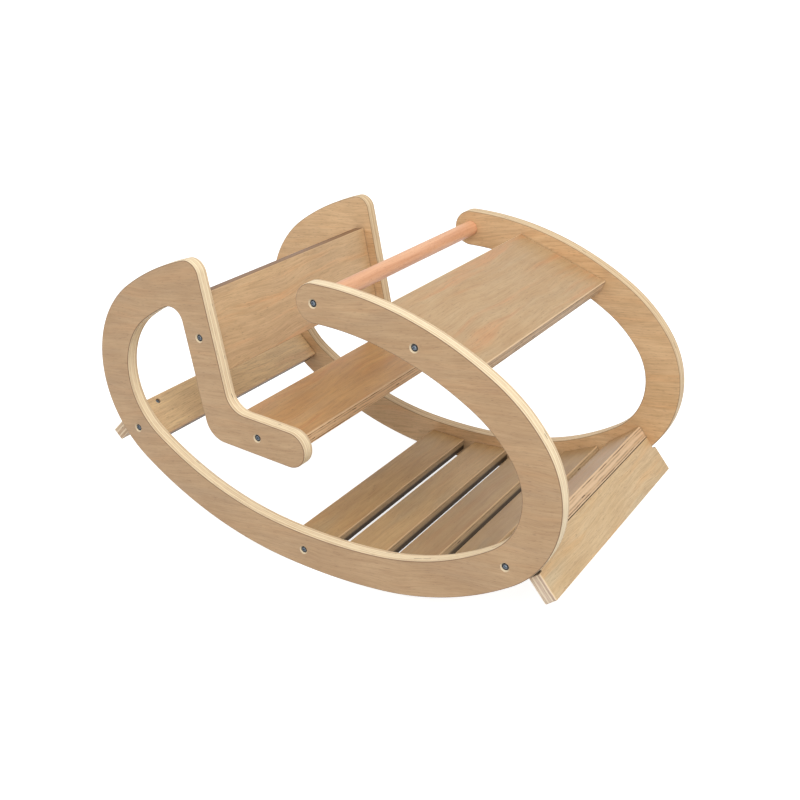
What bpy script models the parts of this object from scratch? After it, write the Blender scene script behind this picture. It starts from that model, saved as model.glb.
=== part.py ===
"""Wooden balance rocker: two plywood side panels joined by boards, slats and a round handle.

Blender 4.5, metres, +Z up. +X is the way the rider faces, the panels lie in planes of constant Y, and
-Y is the rider's right. The side outline is drawn flat, in (x, z), from the point where the rocker's
sole touches the floor. The finished rocker is then turned about the centre of its sole until its centre
of mass hangs below that centre, which is how it stands by itself on a level floor.
"""

import math
from collections import namedtuple
from itertools import accumulate

import bmesh
import bpy
from mathutils import Matrix, Vector

# Driving dimensions: overall, and the stock that the rocker is cut from
OVERALL_WIDTH = 0.400
PANEL_THICKNESS = 0.018
BOARD_THICKNESS = 0.018
SLAT_WIDTH = 0.0573
SEAT_BOARD_WIDTH = 0.1061
BACKREST_BOARD_WIDTH = 0.108
TABLE_BOARD_WIDTH = 0.1388
FRONT_STOP_WIDTH = 0.0560
REAR_STOP_WIDTH = 0.057
FRONT_STOP_SHOULDER = 0.0070
REAR_STOP_SHOULDER = 0.003
HANDLE_DIAMETER = 0.021
BAND_WIDTH = 0.050

# Outer edge of the side panel, as arcs that run into each other, from the point on the floor
SOLE_RADIUS = 0.739
SOLE_FRONT_TURN = 7.0
SOLE_REAR_TURN = 5.4
FRONT_RISE_RADIUS = 0.395
FRONT_RISE_TURN = 28.7
NOSE_RADIUS = 0.138
NOSE_TURN = 89.6
SHOULDER_RADIUS = 0.224
SHOULDER_TURN = 22.4
ARM_RADIUS = 0.445
ARM_TURN = 32.8
REAR_RISE_RADIUS = 0.486
REAR_RISE_TURN = 29.5
TAIL_RADIUS = 0.1545
TAIL_TURN = 109.3
CROWN_RADIUS = 0.354

# Seat arm, the L-shaped limb that hangs inside the outer band
ARM_LIMB_WIDTH = 0.0466
SEAT_LIMB_WIDTH = 0.050
BACK_RAKE = 11.7
SEAT_SLOPE = 3.3
BACKREST_X = -0.1831
BACKREST_Z = 0.2910
SEAT_SCREW_X = -0.0967
SEAT_SCREW_Z = 0.1709
SEAT_LIMB_END_X = -0.0460
TOP_CORNER_RADIUS = 0.020
HOLE_CORNER_RADIUS = 0.020
LIMB_OUTER_CORNER_RADIUS = 0.032
LIMB_INNER_CORNER_RADIUS = 0.030

# Places of the boards: a station is a distance along the outer edge from the point on the floor, and a
# pitch the distance along it from the slat before
FIRST_SLAT_STATION = -0.0302
SECOND_SLAT_PITCH = 0.0783
THIRD_SLAT_PITCH = 0.0794
FOURTH_SLAT_PITCH = 0.0848
FRONT_SLAT_PITCH = 0.0848
FRONT_SLAT_INSET = 0.0274
FRONT_SCREW_BEHIND_SLAT = 0.0011
REAR_SLAT_STATION = -0.358
REAR_SLAT_TILT = 4.3
TABLE_STATION_FROM_TIP = 0.155
TABLE_DROP = 0.0037
SEAT_BOARD_AHEAD_OF_SCREW = 0.0013
TABLE_BOARD_AHEAD_OF_SCREW = 0.0039

# Screws with a countersunk head and a hexagon socket: large ones through the panels, small ones that
# hold the stop boards
PANEL_SCREW_LENGTH = 0.050
PANEL_SCREW_HEAD = 0.0090
PANEL_SCREW_SOCKET = 0.0040
PANEL_SCREW_NECK = 0.0065
PANEL_SCREW_THREAD = 0.0062
PANEL_SCREW_CORE = 0.0046
PANEL_SCREW_SUNK = 0.0013
PANEL_COUNTERSINK = 0.0122
STOP_SCREW_LENGTH = 0.040
STOP_SCREW_HEAD = 0.0066
STOP_SCREW_SOCKET = 0.0030
STOP_SCREW_NECK = 0.0046
STOP_SCREW_THREAD = 0.0044
STOP_SCREW_CORE = 0.0032
STOP_SCREW_SUNK = 0.0020
STOP_COUNTERSINK = 0.0074
STOP_SCREW_FROM_SIDE = 0.050
SCREW_HEAD_DEPTH = 0.0030
SCREW_SOCKET_DEPTH = 0.0025
SCREW_TIP_LENGTH = 0.004
SCREW_TIP_DIAMETER = 0.0016
THREAD_RIDGES = 4
RIDGE_FOOT_SHARE = 0.2
RIDGE_TOP_SHARE = 0.6

# Round wooden pins glued into both pieces, which stop a board turning about its screw
PIN_DIAMETER = 0.008
PIN_LENGTH = 0.030
PIN_IN_PANEL = 0.011
PIN_CHAMFER = 0.001
WIDE_BOARD_PIN_OFFSET = 0.036
TABLE_PIN_OFFSET = 0.046
SLAT_PIN_OFFSET = 0.018
HANDLE_SEAT_DEPTH = 0.006

# Gaps between pieces that touch on the real object, and round edges
JOINT_GAP = 0.0003
END_GAP = 0.0010
PANEL_EDGE_ROUND = 0.0015
BOARD_EDGE_ROUND = 0.0015

# Facets of the round shapes
FACET_SAG = 0.0001
ROUND_SIDES = 12
HANDLE_SIDES = 28
EDGE_ROUND_STEPS = 2

# Densities, kg per cubic metre, for the balance that sets how the rocker stands
WOOD_DENSITY = 700.0
STEEL_DENSITY = 7850.0

INNER_HALF_WIDTH = OVERALL_WIDTH / 2 - PANEL_THICKNESS
BOARD_HALF_LENGTH = INNER_HALF_WIDTH - JOINT_GAP
SIDES = {"right": -1, "left": 1}
SLAT_PITCHES = (SECOND_SLAT_PITCH, THIRD_SLAT_PITCH, FOURTH_SLAT_PITCH, FRONT_SLAT_PITCH)
*FLOOR_SLAT_STATIONS, FRONT_SLAT_STATION = accumulate(SLAT_PITCHES, initial=FIRST_SLAT_STATION)

Arc = namedtuple("Arc", "radius turn")
Place = namedtuple("Place", "centre along")  # a point and a unit direction in the (x, z) plane
Ring = namedtuple("Ring", "radii depth")  # radii round a circle, and depth below the end face
Screw = namedtuple("Screw", "length head socket neck thread core sunk countersink")

FRONT_ARCS = (
    Arc(SOLE_RADIUS, SOLE_FRONT_TURN),
    Arc(FRONT_RISE_RADIUS, FRONT_RISE_TURN),
    Arc(NOSE_RADIUS, NOSE_TURN),
    Arc(SHOULDER_RADIUS, SHOULDER_TURN),
    Arc(ARM_RADIUS, ARM_TURN),
)
REAR_ARCS = (
    Arc(SOLE_RADIUS, SOLE_REAR_TURN),
    Arc(REAR_RISE_RADIUS, REAR_RISE_TURN),
    Arc(TAIL_RADIUS, TAIL_TURN),
)

PANEL_SCREW = Screw(
    PANEL_SCREW_LENGTH,
    PANEL_SCREW_HEAD,
    PANEL_SCREW_SOCKET,
    PANEL_SCREW_NECK,
    PANEL_SCREW_THREAD,
    PANEL_SCREW_CORE,
    PANEL_SCREW_SUNK,
    PANEL_COUNTERSINK,
)
STOP_SCREW = Screw(
    STOP_SCREW_LENGTH,
    STOP_SCREW_HEAD,
    STOP_SCREW_SOCKET,
    STOP_SCREW_NECK,
    STOP_SCREW_THREAD,
    STOP_SCREW_CORE,
    STOP_SCREW_SUNK,
    STOP_COUNTERSINK,
)

MATERIALS = {
    "birch_plywood": ((0.50, 0.34, 0.20), 0.55, 0.0),
    "beech": ((0.68, 0.36, 0.20), 0.50, 0.0),
    "pin_wood": ((0.62, 0.42, 0.24), 0.70, 0.0),
    "steel": ((0.45, 0.45, 0.47), 0.30, 1.0),
}


# Flat geometry in the (x, z) plane


def unit(degrees):
    """The unit direction at an angle from +x towards +z."""
    return Vector((math.cos(math.radians(degrees)), math.sin(math.radians(degrees))))


def left_of(direction):
    return Vector((-direction.y, direction.x))


class Pen:
    """A pen that moves over the (x, z) plane in straight runs and arcs and keeps the points it passes."""

    def __init__(self, point, heading):
        self.points = [Vector(point)]
        self.heading = heading

    def centre(self, radius, turn):
        """The centre of the arc that a turn from here would follow."""
        return self.points[-1] + left_of(unit(self.heading)) * math.copysign(radius, turn)

    def arc(self, radius, turn):
        """Follows an arc: a turn above 0 bends left. The facets stay within FACET_SAG of it."""
        centre = self.centre(radius, turn)
        start = self.points[-1] - centre
        facet_turn = 2 * math.degrees(math.acos(1 - FACET_SAG / radius))
        steps = max(math.ceil(abs(turn) / facet_turn), 1)
        for step in range(1, steps + 1):
            turned = start.copy()
            turned.rotate(Matrix.Rotation(math.radians(turn * step / steps), 2))
            self.points.append(centre + turned)
        self.heading += turn


def arc_between(centre, start, end, left):
    """The points of an arc about a centre from start to end, turning left or right, ends included."""
    first, last = start - centre, end - centre
    turn = math.degrees(math.atan2(first.x * last.y - first.y * last.x, first.dot(last)))
    if left and turn < 0:
        turn += 360
    if not left and turn > 0:
        turn -= 360
    heading = math.degrees(math.atan2(first.y, first.x)) + (90 if left else -90)
    pen = Pen(start, heading)
    pen.arc(first.length, turn)
    return pen.points


def edge_pen(arcs, inset, side):
    """A pen that has followed arcs of the band's edge, inset from the outer edge. side is 1 for the front
    chain, which runs towards +x and bends left, and -1 for the rear chain."""
    pen = Pen((0.0, inset), 0.0 if side > 0 else 180.0)
    for arc in arcs:
        pen.arc(arc.radius - inset, side * arc.turn)
    return pen


def band_place(station, inset):
    """The place at a distance along the outer edge from the floor point, inset into the band. Its
    direction runs along the band towards the front."""
    side = 1 if station >= 0 else -1
    pen = Pen((0.0, 0.0), 0.0 if side > 0 else 180.0)
    left = abs(station)
    for arc in FRONT_ARCS if side > 0 else REAR_ARCS:
        length = arc.radius * math.radians(arc.turn)
        part = min(left / length, 1.0)
        pen.arc(arc.radius, side * arc.turn * part)
        left -= length * part
        if part < 1.0:
            break
    along = unit(pen.heading) * side
    return Place(pen.points[-1] + left_of(along) * inset, along)


def front_length():
    return sum(arc.radius * math.radians(arc.turn) for arc in FRONT_ARCS)


def crossing(point, direction, other_point, other_direction):
    """Where two lines cross."""
    normal = left_of(other_direction)
    return point + direction * ((other_point - point).dot(normal) / direction.dot(normal))


def corner_fillet(corner, arriving, leaving, radius):
    """The points that round a corner between two straight edges."""
    turn = math.atan2(
        arriving.x * leaving.y - arriving.y * leaving.x, arriving.dot(leaving)
    )
    reach = radius * math.tan(abs(turn) / 2)
    start, end = corner - arriving * reach, corner + leaving * reach
    centre = start + left_of(arriving) * math.copysign(radius, turn)
    return arc_between(centre, start, end, turn > 0)


def circle_touching(line_point, line_direction, arc_centre, arc_radius):
    """The centre, on a line, of a circle whose centre is arc_radius from arc_centre: the one further
    along the line."""
    offset = line_point - arc_centre
    half = offset.dot(line_direction)
    rest = offset.dot(offset) - arc_radius**2
    return line_point + line_direction * (-half + math.sqrt(half * half - rest))


# The seat arm's centre lines, and the side panel's outline

BACK_UP = unit(90 + BACK_RAKE)
BACK_FRONT = unit(BACK_RAKE)
SEAT_AHEAD = unit(-SEAT_SLOPE)
SEAT_UP = left_of(SEAT_AHEAD)
BACKREST_CENTRE = Vector((BACKREST_X, BACKREST_Z))
SEAT_SCREW = Vector((SEAT_SCREW_X, SEAT_SCREW_Z))


def crown_arc(inset, limb_offset, fillet_radius):
    """The last stretch of the rear edge, and the fillet that takes it into an edge of the seat arm.
    Returns the chain's points from the floor point, the fillet's centre and its touching point."""
    pen = edge_pen(REAR_ARCS, inset, -1)
    radius = CROWN_RADIUS - inset
    centre = pen.centre(radius, -1.0)
    guide = BACKREST_CENTRE + BACK_FRONT * (limb_offset - fillet_radius)
    fillet_centre = circle_touching(guide, BACK_UP, centre, radius - fillet_radius)
    touch = centre + (fillet_centre - centre).normalized() * radius
    points = pen.points + arc_between(centre, pen.points[-1], touch, False)[1:]
    return points, fillet_centre, touch


def panel_outline():
    """The side panel's outline, one closed line with the material on its left."""
    half_limb, half_seat = ARM_LIMB_WIDTH / 2, SEAT_LIMB_WIDTH / 2
    outer_rear, top_centre, top_touch = crown_arc(0.0, half_limb, TOP_CORNER_RADIUS)
    inner_rear, hole_centre, hole_touch = crown_arc(BAND_WIDTH, -half_limb, HOLE_CORNER_RADIUS)
    front = edge_pen(FRONT_ARCS, 0.0, 1)
    front.arc(BAND_WIDTH / 2, 180.0)
    inner_front = edge_pen(FRONT_ARCS, BAND_WIDTH, 1).points

    rear_edge = BACKREST_CENTRE - BACK_FRONT * half_limb
    front_edge = BACKREST_CENTRE + BACK_FRONT * half_limb
    seat_low = SEAT_SCREW - SEAT_UP * half_seat
    seat_high = SEAT_SCREW + SEAT_UP * half_seat
    limb_end = SEAT_SCREW + SEAT_AHEAD * ((SEAT_LIMB_END_X - SEAT_SCREW_X) / SEAT_AHEAD.x)
    low_corner = crossing(rear_edge, BACK_UP, seat_low, SEAT_AHEAD)
    high_corner = crossing(front_edge, BACK_UP, seat_high, SEAT_AHEAD)

    points = list(reversed(outer_rear)) + front.points[1:]
    points += list(reversed(inner_front))[1:] + inner_rear[1:]
    points += arc_between(hole_centre, hole_touch, hole_centre + BACK_FRONT * HOLE_CORNER_RADIUS, False)[1:]
    points += corner_fillet(low_corner, -BACK_UP, SEAT_AHEAD, LIMB_OUTER_CORNER_RADIUS)
    points += arc_between(limb_end, limb_end - SEAT_UP * half_seat, limb_end + SEAT_UP * half_seat, True)
    points += corner_fillet(high_corner, -SEAT_AHEAD, BACK_UP, LIMB_INNER_CORNER_RADIUS)
    points += arc_between(top_centre, top_centre + BACK_FRONT * TOP_CORNER_RADIUS, top_touch, True)[:-1]
    return points


def handle_centre():
    pen = edge_pen(FRONT_ARCS, 0.0, 1)
    return pen.centre(BAND_WIDTH / 2, 1.0)


# Places of the boards: centre of the section, and the direction of its width


def board_places():
    """Where each board between the panels lies, and its width. A board's direction runs to the front."""
    middle = BAND_WIDTH / 2
    table = band_place(front_length() - TABLE_STATION_FROM_TIP, middle + TABLE_DROP)
    rear = band_place(REAR_SLAT_STATION, middle)
    tilted = rear.along.copy()
    tilted.rotate(Matrix.Rotation(math.radians(REAR_SLAT_TILT), 2))
    seat = Place(SEAT_SCREW + SEAT_AHEAD * SEAT_BOARD_AHEAD_OF_SCREW, SEAT_AHEAD)
    places = {
        "backrest_board": (Place(BACKREST_CENTRE, BACK_UP), BACKREST_BOARD_WIDTH),
        "seat_board": (seat, SEAT_BOARD_WIDTH),
        "table_board": (Place(table.centre, -table.along), TABLE_BOARD_WIDTH),
        "rear_slat": (Place(rear.centre, tilted), SLAT_WIDTH),
    }
    for number, station in enumerate(FLOOR_SLAT_STATIONS):
        places[f"floor_slat_{number + 1}"] = (band_place(station, middle), SLAT_WIDTH)
    places["front_slat"] = (band_place(FRONT_SLAT_STATION, FRONT_SLAT_INSET), SLAT_WIDTH)
    return places


def side_screw_point(name, place):
    """Where the screw through each panel meets the end of a board."""
    if name == "front_slat":
        return band_place(FRONT_SLAT_STATION - FRONT_SCREW_BEHIND_SLAT, BAND_WIDTH / 2).centre
    ahead = {"seat_board": SEAT_BOARD_AHEAD_OF_SCREW, "table_board": TABLE_BOARD_AHEAD_OF_SCREW}
    return place.centre - place.along * ahead.get(name, 0.0)


def stop_place(slat, upper_edge, width):
    """The stop board under a slat: square to it, on the side away from the rider, with its face flush
    with the slat's upper edge. upper_edge is 1 where that is the slat's front edge, and else -1."""
    outward = -left_of(slat.along)
    edge = slat.along * upper_edge * (SLAT_WIDTH - BOARD_THICKNESS) / 2
    depth = BOARD_THICKNESS / 2 + JOINT_GAP + width / 2
    return Place(slat.centre + edge + outward * depth, outward)


def depth_to_line(point, direction, line):
    """How far along a direction from a point an open line of points is crossed."""
    across = left_of(direction)
    for start, end in zip(line, line[1:]):
        before, after = (start - point).dot(across), (end - point).dot(across)
        if before * after <= 0 and (end - point).dot(direction) > 0:
            return (start.lerp(end, before / (before - after)) - point).dot(direction)
    raise ValueError("the line is not crossed")


def notch_depth(stop, width, arcs, side):
    """How deep the notches in a stop's ends reach from its upper edge: to just under the panels."""
    edge = edge_pen(arcs, 0.0, side).points
    top = stop.centre - stop.along * width / 2
    half = left_of(stop.along) * BOARD_THICKNESS / 2
    depths = [depth_to_line(top + half * face, stop.along, edge) for face in (-1, 1)]
    return max(depths) + JOINT_GAP + 2 * FACET_SAG


# Meshes


def material(name):
    found = bpy.data.materials.get(name)
    if found:
        return found
    colour, roughness, metallic = MATERIALS[name]
    made = bpy.data.materials.new(name)
    made.use_nodes = True
    shader = made.node_tree.nodes["Principled BSDF"]
    shader.inputs["Base Color"].default_value = (*colour, 1.0)
    shader.inputs["Roughness"].default_value = roughness
    shader.inputs["Metallic"].default_value = metallic
    made.diffuse_color = (*colour, 1.0)
    return made


def add_object(name, mesh, finish):
    bm = bmesh.new()
    bm.from_mesh(mesh)
    bmesh.ops.recalc_face_normals(bm, faces=bm.faces)
    bm.to_mesh(mesh)
    bm.free()
    made = bpy.data.objects.new(name, mesh)
    mesh.materials.append(material(finish))
    bpy.context.scene.collection.objects.link(made)
    return made


def prism_mesh(name, outline, low, high):
    """A closed outline in (x, z) carried along Y from low to high."""
    count = len(outline)
    vertices = [(p.x, low, p.y) for p in outline] + [(p.x, high, p.y) for p in outline]
    faces = [tuple(range(count)), tuple(range(count, 2 * count))]
    faces += [(i, (i + 1) % count, count + (i + 1) % count, count + i) for i in range(count)]
    mesh = bpy.data.meshes.new(name)
    mesh.from_pydata(vertices, [], faces)
    return mesh


def board_section(place, width):
    """A board's rectangle with rounded corners, its width along the place's direction."""
    points = []
    ahead, reach, side = place.along, width / 2, BOARD_THICKNESS / 2
    for _ in range(4):
        corner = place.centre + ahead * reach - left_of(ahead) * side
        points += corner_fillet(corner, ahead, left_of(ahead), BOARD_EDGE_ROUND)
        ahead, reach, side = left_of(ahead), side, reach
    return points


def turned_mesh(name, rings, place, y_face, direction):
    """A round piece on an axis along Y. Its rings run from the end face at y_face, direction says which
    way along Y the depth goes, and each ring lists its radii. Both ends close on a middle point."""
    vertices = [(place.x, y_face + direction * rings[0].depth, place.y)]
    for ring in rings:
        for index, radius in enumerate(ring.radii):
            angle = 2 * math.pi * index / len(ring.radii)
            vertices.append((
                place.x + radius * math.cos(angle),
                y_face + direction * ring.depth,
                place.y + radius * math.sin(angle),
            ))
    vertices.append((place.x, y_face + direction * rings[-1].depth, place.y))
    count, last = len(rings[0].radii), len(vertices) - 1
    faces = []
    for index in range(count):
        following = (index + 1) % count
        faces.append((0, 1 + index, 1 + following))
        faces.append((last, last - count + following, last - count + index))
        for row in range(len(rings) - 1):
            near, far = 1 + row * count, 1 + (row + 1) * count
            faces.append((near + index, far + index, far + following, near + following))
    mesh = bpy.data.meshes.new(name)
    mesh.from_pydata(vertices, [], faces)
    return mesh


def round_ring(diameter, depth, sides=ROUND_SIDES):
    return Ring([diameter / 2] * sides, depth)


def hexagon_ring(across_flats, depth):
    """A ring of a hexagon: every other point is a corner, and those between are the middles of sides."""
    apothem = across_flats / 2
    corner = apothem / math.cos(math.pi / 6)
    return Ring([corner if index % 2 == 0 else apothem for index in range(ROUND_SIDES)], depth)


def screw_rings(screw, thickness):
    """The screw from the floor of its socket, up to the face of the head and down to its tip. The neck
    is as long as the piece under the head is thick."""
    neck_end = thickness - screw.sunk
    thread_end = screw.length - SCREW_TIP_LENGTH
    pitch = (thread_end - neck_end) / THREAD_RIDGES
    rings = [
        hexagon_ring(screw.socket, SCREW_SOCKET_DEPTH),
        hexagon_ring(screw.socket, 0.0),
        round_ring(screw.head, 0.0),
        round_ring(screw.neck, SCREW_HEAD_DEPTH),
        round_ring(screw.neck, neck_end),
    ]
    for ridge in range(THREAD_RIDGES):
        rings.append(round_ring(screw.core, neck_end + pitch * (ridge + RIDGE_FOOT_SHARE)))
        rings.append(round_ring(screw.thread, neck_end + pitch * (ridge + RIDGE_TOP_SHARE)))
    rings.append(round_ring(screw.core, thread_end))
    rings.append(round_ring(SCREW_TIP_DIAMETER, screw.length))
    return rings


def countersink_rings(screw, thickness):
    """What a screw needs cut from the piece that its head sits in: a flare, a seat and a clear hole."""
    head = screw.head + 2 * JOINT_GAP
    neck = screw.neck + 2 * JOINT_GAP
    mouth = screw.countersink + (screw.countersink - head) * END_GAP / screw.sunk
    return [
        round_ring(mouth, -END_GAP),
        round_ring(head, screw.sunk),
        round_ring(neck, screw.sunk + SCREW_HEAD_DEPTH),
        round_ring(neck, thickness + END_GAP),
    ]


def pilot_rings(screw, depth):
    """The hole for the thread in the piece that the screw goes into."""
    bore = screw.thread + 2 * JOINT_GAP
    return [round_ring(bore, -END_GAP), round_ring(bore, depth + END_GAP)]


def pin_rings():
    return [
        round_ring(PIN_DIAMETER - 2 * PIN_CHAMFER, 0.0),
        round_ring(PIN_DIAMETER, PIN_CHAMFER),
        round_ring(PIN_DIAMETER, PIN_LENGTH - PIN_CHAMFER),
        round_ring(PIN_DIAMETER - 2 * PIN_CHAMFER, PIN_LENGTH),
    ]


def pin_hole_rings(depth):
    bore = PIN_DIAMETER + 2 * JOINT_GAP
    return [round_ring(bore, -END_GAP), round_ring(bore, depth + END_GAP)]


# Making the pieces


class Drilling:
    """The holes of one piece: cutters are gathered as meshes and then taken away with one Boolean."""

    def __init__(self, piece):
        self.piece = piece
        self.meshes = []

    def add(self, mesh):
        self.meshes.append(mesh)

    def cut(self):
        if not self.meshes:
            return
        bm = bmesh.new()
        for mesh in self.meshes:
            bm.from_mesh(mesh)
            bpy.data.meshes.remove(mesh)
        bmesh.ops.recalc_face_normals(bm, faces=bm.faces)
        cutter_mesh = bpy.data.meshes.new(self.piece.name + "_holes")
        bm.to_mesh(cutter_mesh)
        bm.free()
        cutter = bpy.data.objects.new(self.piece.name + "_holes", cutter_mesh)
        bpy.context.scene.collection.objects.link(cutter)
        cutter.hide_render = True
        cutter.display_type = "WIRE"
        holes = self.piece.modifiers.new("holes", "BOOLEAN")
        holes.operation = "DIFFERENCE"
        holes.solver = "EXACT"
        holes.use_self = True
        holes.object = cutter


def make_panel(side):
    name = f"{side}_side_panel"
    outer = SIDES[side] * OVERALL_WIDTH / 2
    inner = SIDES[side] * INNER_HALF_WIDTH
    mesh = prism_mesh(name, panel_outline(), min(outer, inner), max(outer, inner))
    panel = add_object(name, mesh, "birch_plywood")
    rounding = panel.modifiers.new("rounded_edges", "BEVEL")
    rounding.width = PANEL_EDGE_ROUND
    rounding.segments = EDGE_ROUND_STEPS
    rounding.limit_method = "ANGLE"
    rounding.angle_limit = math.radians(60)
    return Drilling(panel)


def make_board(name, place, width, half_length=BOARD_HALF_LENGTH):
    section = board_section(place, width)
    mesh = prism_mesh(name, section, -half_length, half_length)
    return Drilling(add_object(name, mesh, "birch_plywood"))


def make_stop(name, place, width, shoulder, depth):
    """A stop board, longer than the others by a shoulder at each end that runs out under the panel. The
    upper corners are notched to the depth, so that the rest stands between the panels."""
    stop = make_board(name, place, width, BOARD_HALF_LENGTH + shoulder)
    high = place.centre - place.along * (width / 2 + END_GAP)
    low = place.centre - place.along * (width / 2 - depth)
    half = left_of(place.along) * (BOARD_THICKNESS / 2 + END_GAP)
    outline = [high - half, low - half, low + half, high + half]
    for sign in SIDES.values():
        ends = (sign * BOARD_HALF_LENGTH, sign * (BOARD_HALF_LENGTH + shoulder + END_GAP))
        stop.add(prism_mesh("cutter", outline, min(ends), max(ends)))
    return stop


def make_handle(centre):
    half = INNER_HALF_WIDTH + HANDLE_SEAT_DEPTH - JOINT_GAP
    rings = [
        round_ring(HANDLE_DIAMETER, 0.0, HANDLE_SIDES),
        round_ring(HANDLE_DIAMETER, 2 * half, HANDLE_SIDES),
    ]
    mesh = turned_mesh("handle_dowel", rings, centre, -half, 1)
    return Drilling(add_object("handle_dowel", mesh, "beech"))


def drive_side_screw(side, label, point, panel, board, board_end=INNER_HALF_WIDTH):
    """A screw through the panel into the end of a board, with the holes it needs in both."""
    sign = SIDES[side]
    face = OVERALL_WIDTH / 2
    name = f"{side}_{label}_screw"
    rings = screw_rings(PANEL_SCREW, PANEL_THICKNESS)
    head = sign * (face - PANEL_SCREW.sunk)
    add_object(name, turned_mesh(name, rings, point, head, -sign), "steel")
    sink = countersink_rings(PANEL_SCREW, PANEL_THICKNESS)
    panel.add(turned_mesh("cutter", sink, point, sign * face, -sign))
    bite = PANEL_SCREW.length + PANEL_SCREW.sunk - (face - board_end)
    board.add(turned_mesh("cutter", pilot_rings(PANEL_SCREW, bite), point, sign * board_end, -sign))


def set_pin(side, label, point, panel, board):
    """A pin across the joint between a panel and the end of a board, with its two blind holes."""
    sign = SIDES[side]
    joint = sign * INNER_HALF_WIDTH
    name = f"{side}_{label}_pin"
    start = joint + sign * PIN_IN_PANEL
    add_object(name, turned_mesh(name, pin_rings(), point, start, -sign), "pin_wood")
    panel.add(turned_mesh("cutter", pin_hole_rings(PIN_IN_PANEL), point, joint, sign))
    board.add(turned_mesh("cutter", pin_hole_rings(PIN_LENGTH - PIN_IN_PANEL), point, joint, -sign))


def drive_stop_screw(side, label, slat_place, upper_edge, slat, stop):
    """A screw through a slat into the edge of its stop board, square to the slat's face."""
    sign = SIDES[side]
    outward = -left_of(slat_place.along)
    edge = slat_place.along * upper_edge * (SLAT_WIDTH - BOARD_THICKNESS) / 2
    face = slat_place.centre + edge - outward * BOARD_THICKNESS / 2
    y = sign * (OVERALL_WIDTH / 2 - STOP_SCREW_FROM_SIDE)
    # The round pieces are made along Y and then turned so that their depth runs along outward.
    turn = Matrix.Translation((face.x, y, face.y)) @ Matrix((
        (outward.y, outward.x, 0.0, 0.0),
        (0.0, 0.0, 1.0, 0.0),
        (-outward.x, outward.y, 0.0, 0.0),
        (0.0, 0.0, 0.0, 1.0),
    ))
    origin = Vector((0.0, 0.0))
    name = f"{side}_{label}_stop_screw"
    rings = screw_rings(STOP_SCREW, BOARD_THICKNESS)
    screw = turned_mesh(name, rings, origin, STOP_SCREW.sunk, 1)
    screw.transform(turn)
    add_object(name, screw, "steel")
    sink = turned_mesh("cutter", countersink_rings(STOP_SCREW, BOARD_THICKNESS), origin, 0.0, 1)
    sink.transform(turn)
    slat.add(sink)
    bite = STOP_SCREW.length + STOP_SCREW.sunk - BOARD_THICKNESS
    pilot = turned_mesh("cutter", pilot_rings(STOP_SCREW, bite), origin, BOARD_THICKNESS, 1)
    pilot.transform(turn)
    stop.add(pilot)


def pin_offsets(name):
    """How far along a board's width its pins stand from its middle."""
    single = {
        "backrest_board": WIDE_BOARD_PIN_OFFSET,
        "seat_board": WIDE_BOARD_PIN_OFFSET,
        "table_board": TABLE_PIN_OFFSET,
        "rear_slat": SLAT_PIN_OFFSET,
        "floor_slat_1": SLAT_PIN_OFFSET,
        "front_slat": -SLAT_PIN_OFFSET,
    }
    if name in single:
        return {"": single[name]}
    return {"_rear": -SLAT_PIN_OFFSET, "_front": SLAT_PIN_OFFSET}


def fasten_board(side, name, place, panel, board):
    """A screw and a pin through one end of a board, or two pins where the panel shows no screw."""
    label = name.replace("_board", "")
    offsets = pin_offsets(name)
    if len(offsets) == 1:
        drive_side_screw(side, label, side_screw_point(name, place), panel, board)
    for suffix, offset in offsets.items():
        set_pin(side, label + suffix, place.centre + place.along * offset, panel, board)


def fasten_handle(side, panel, handle):
    """The blind hole that the end of the handle stands in, and the screw up its middle."""
    centre = handle_centre()
    drive_side_screw(side, "handle", centre, panel, handle, INNER_HALF_WIDTH + HANDLE_SEAT_DEPTH)
    bore = HANDLE_DIAMETER + 2 * JOINT_GAP
    rings = [round_ring(bore, depth, HANDLE_SIDES) for depth in (-END_GAP, HANDLE_SEAT_DEPTH)]
    panel.add(turned_mesh("cutter", rings, centre, SIDES[side] * INNER_HALF_WIDTH, SIDES[side]))


def build_rocker():
    places = board_places()
    panels = {side: make_panel(side) for side in SIDES}
    boards = {name: make_board(name, place, width) for name, (place, width) in places.items()}
    handle = make_handle(handle_centre())
    stops = {}
    for label, upper_edge, width, shoulder, arcs in (
        ("rear", -1, REAR_STOP_WIDTH, REAR_STOP_SHOULDER, REAR_ARCS),
        ("front", 1, FRONT_STOP_WIDTH, FRONT_STOP_SHOULDER, FRONT_ARCS),
    ):
        slat_place = places[f"{label}_slat"][0]
        stop = stop_place(slat_place, upper_edge, width)
        depth = notch_depth(stop, width, arcs, upper_edge)
        stops[label] = make_stop(f"{label}_stop_board", stop, width, shoulder, depth)
        for side in SIDES:
            drive_stop_screw(side, label, slat_place, upper_edge, boards[f"{label}_slat"], stops[label])
    for side in SIDES:
        for name, (place, _) in places.items():
            fasten_board(side, name, place, panels[side], boards[name])
        fasten_handle(side, panels[side], handle)
    for drilling in [*panels.values(), *boards.values(), handle, *stops.values()]:
        drilling.cut()


# Standing the rocker on the floor


def nodes():
    return [o for o in bpy.context.scene.objects if o.type == "MESH" and not o.hide_render]


def moments(piece, graph):
    """The piece's mass, and its mass times the x and z of its centre."""
    evaluated = piece.evaluated_get(graph)
    mesh = evaluated.to_mesh()
    mesh.calc_loop_triangles()
    volume, first_x, first_z = 0.0, 0.0, 0.0
    for triangle in mesh.loop_triangles:
        a, b, c = (mesh.vertices[index].co for index in triangle.vertices)
        cell = a.dot(b.cross(c)) / 6
        volume += cell
        first_x += cell * (a.x + b.x + c.x) / 4
        first_z += cell * (a.z + b.z + c.z) / 4
    evaluated.to_mesh_clear()
    density = STEEL_DENSITY if piece.data.materials[0].name == "steel" else WOOD_DENSITY
    return volume * density, first_x * density, first_z * density


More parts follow.
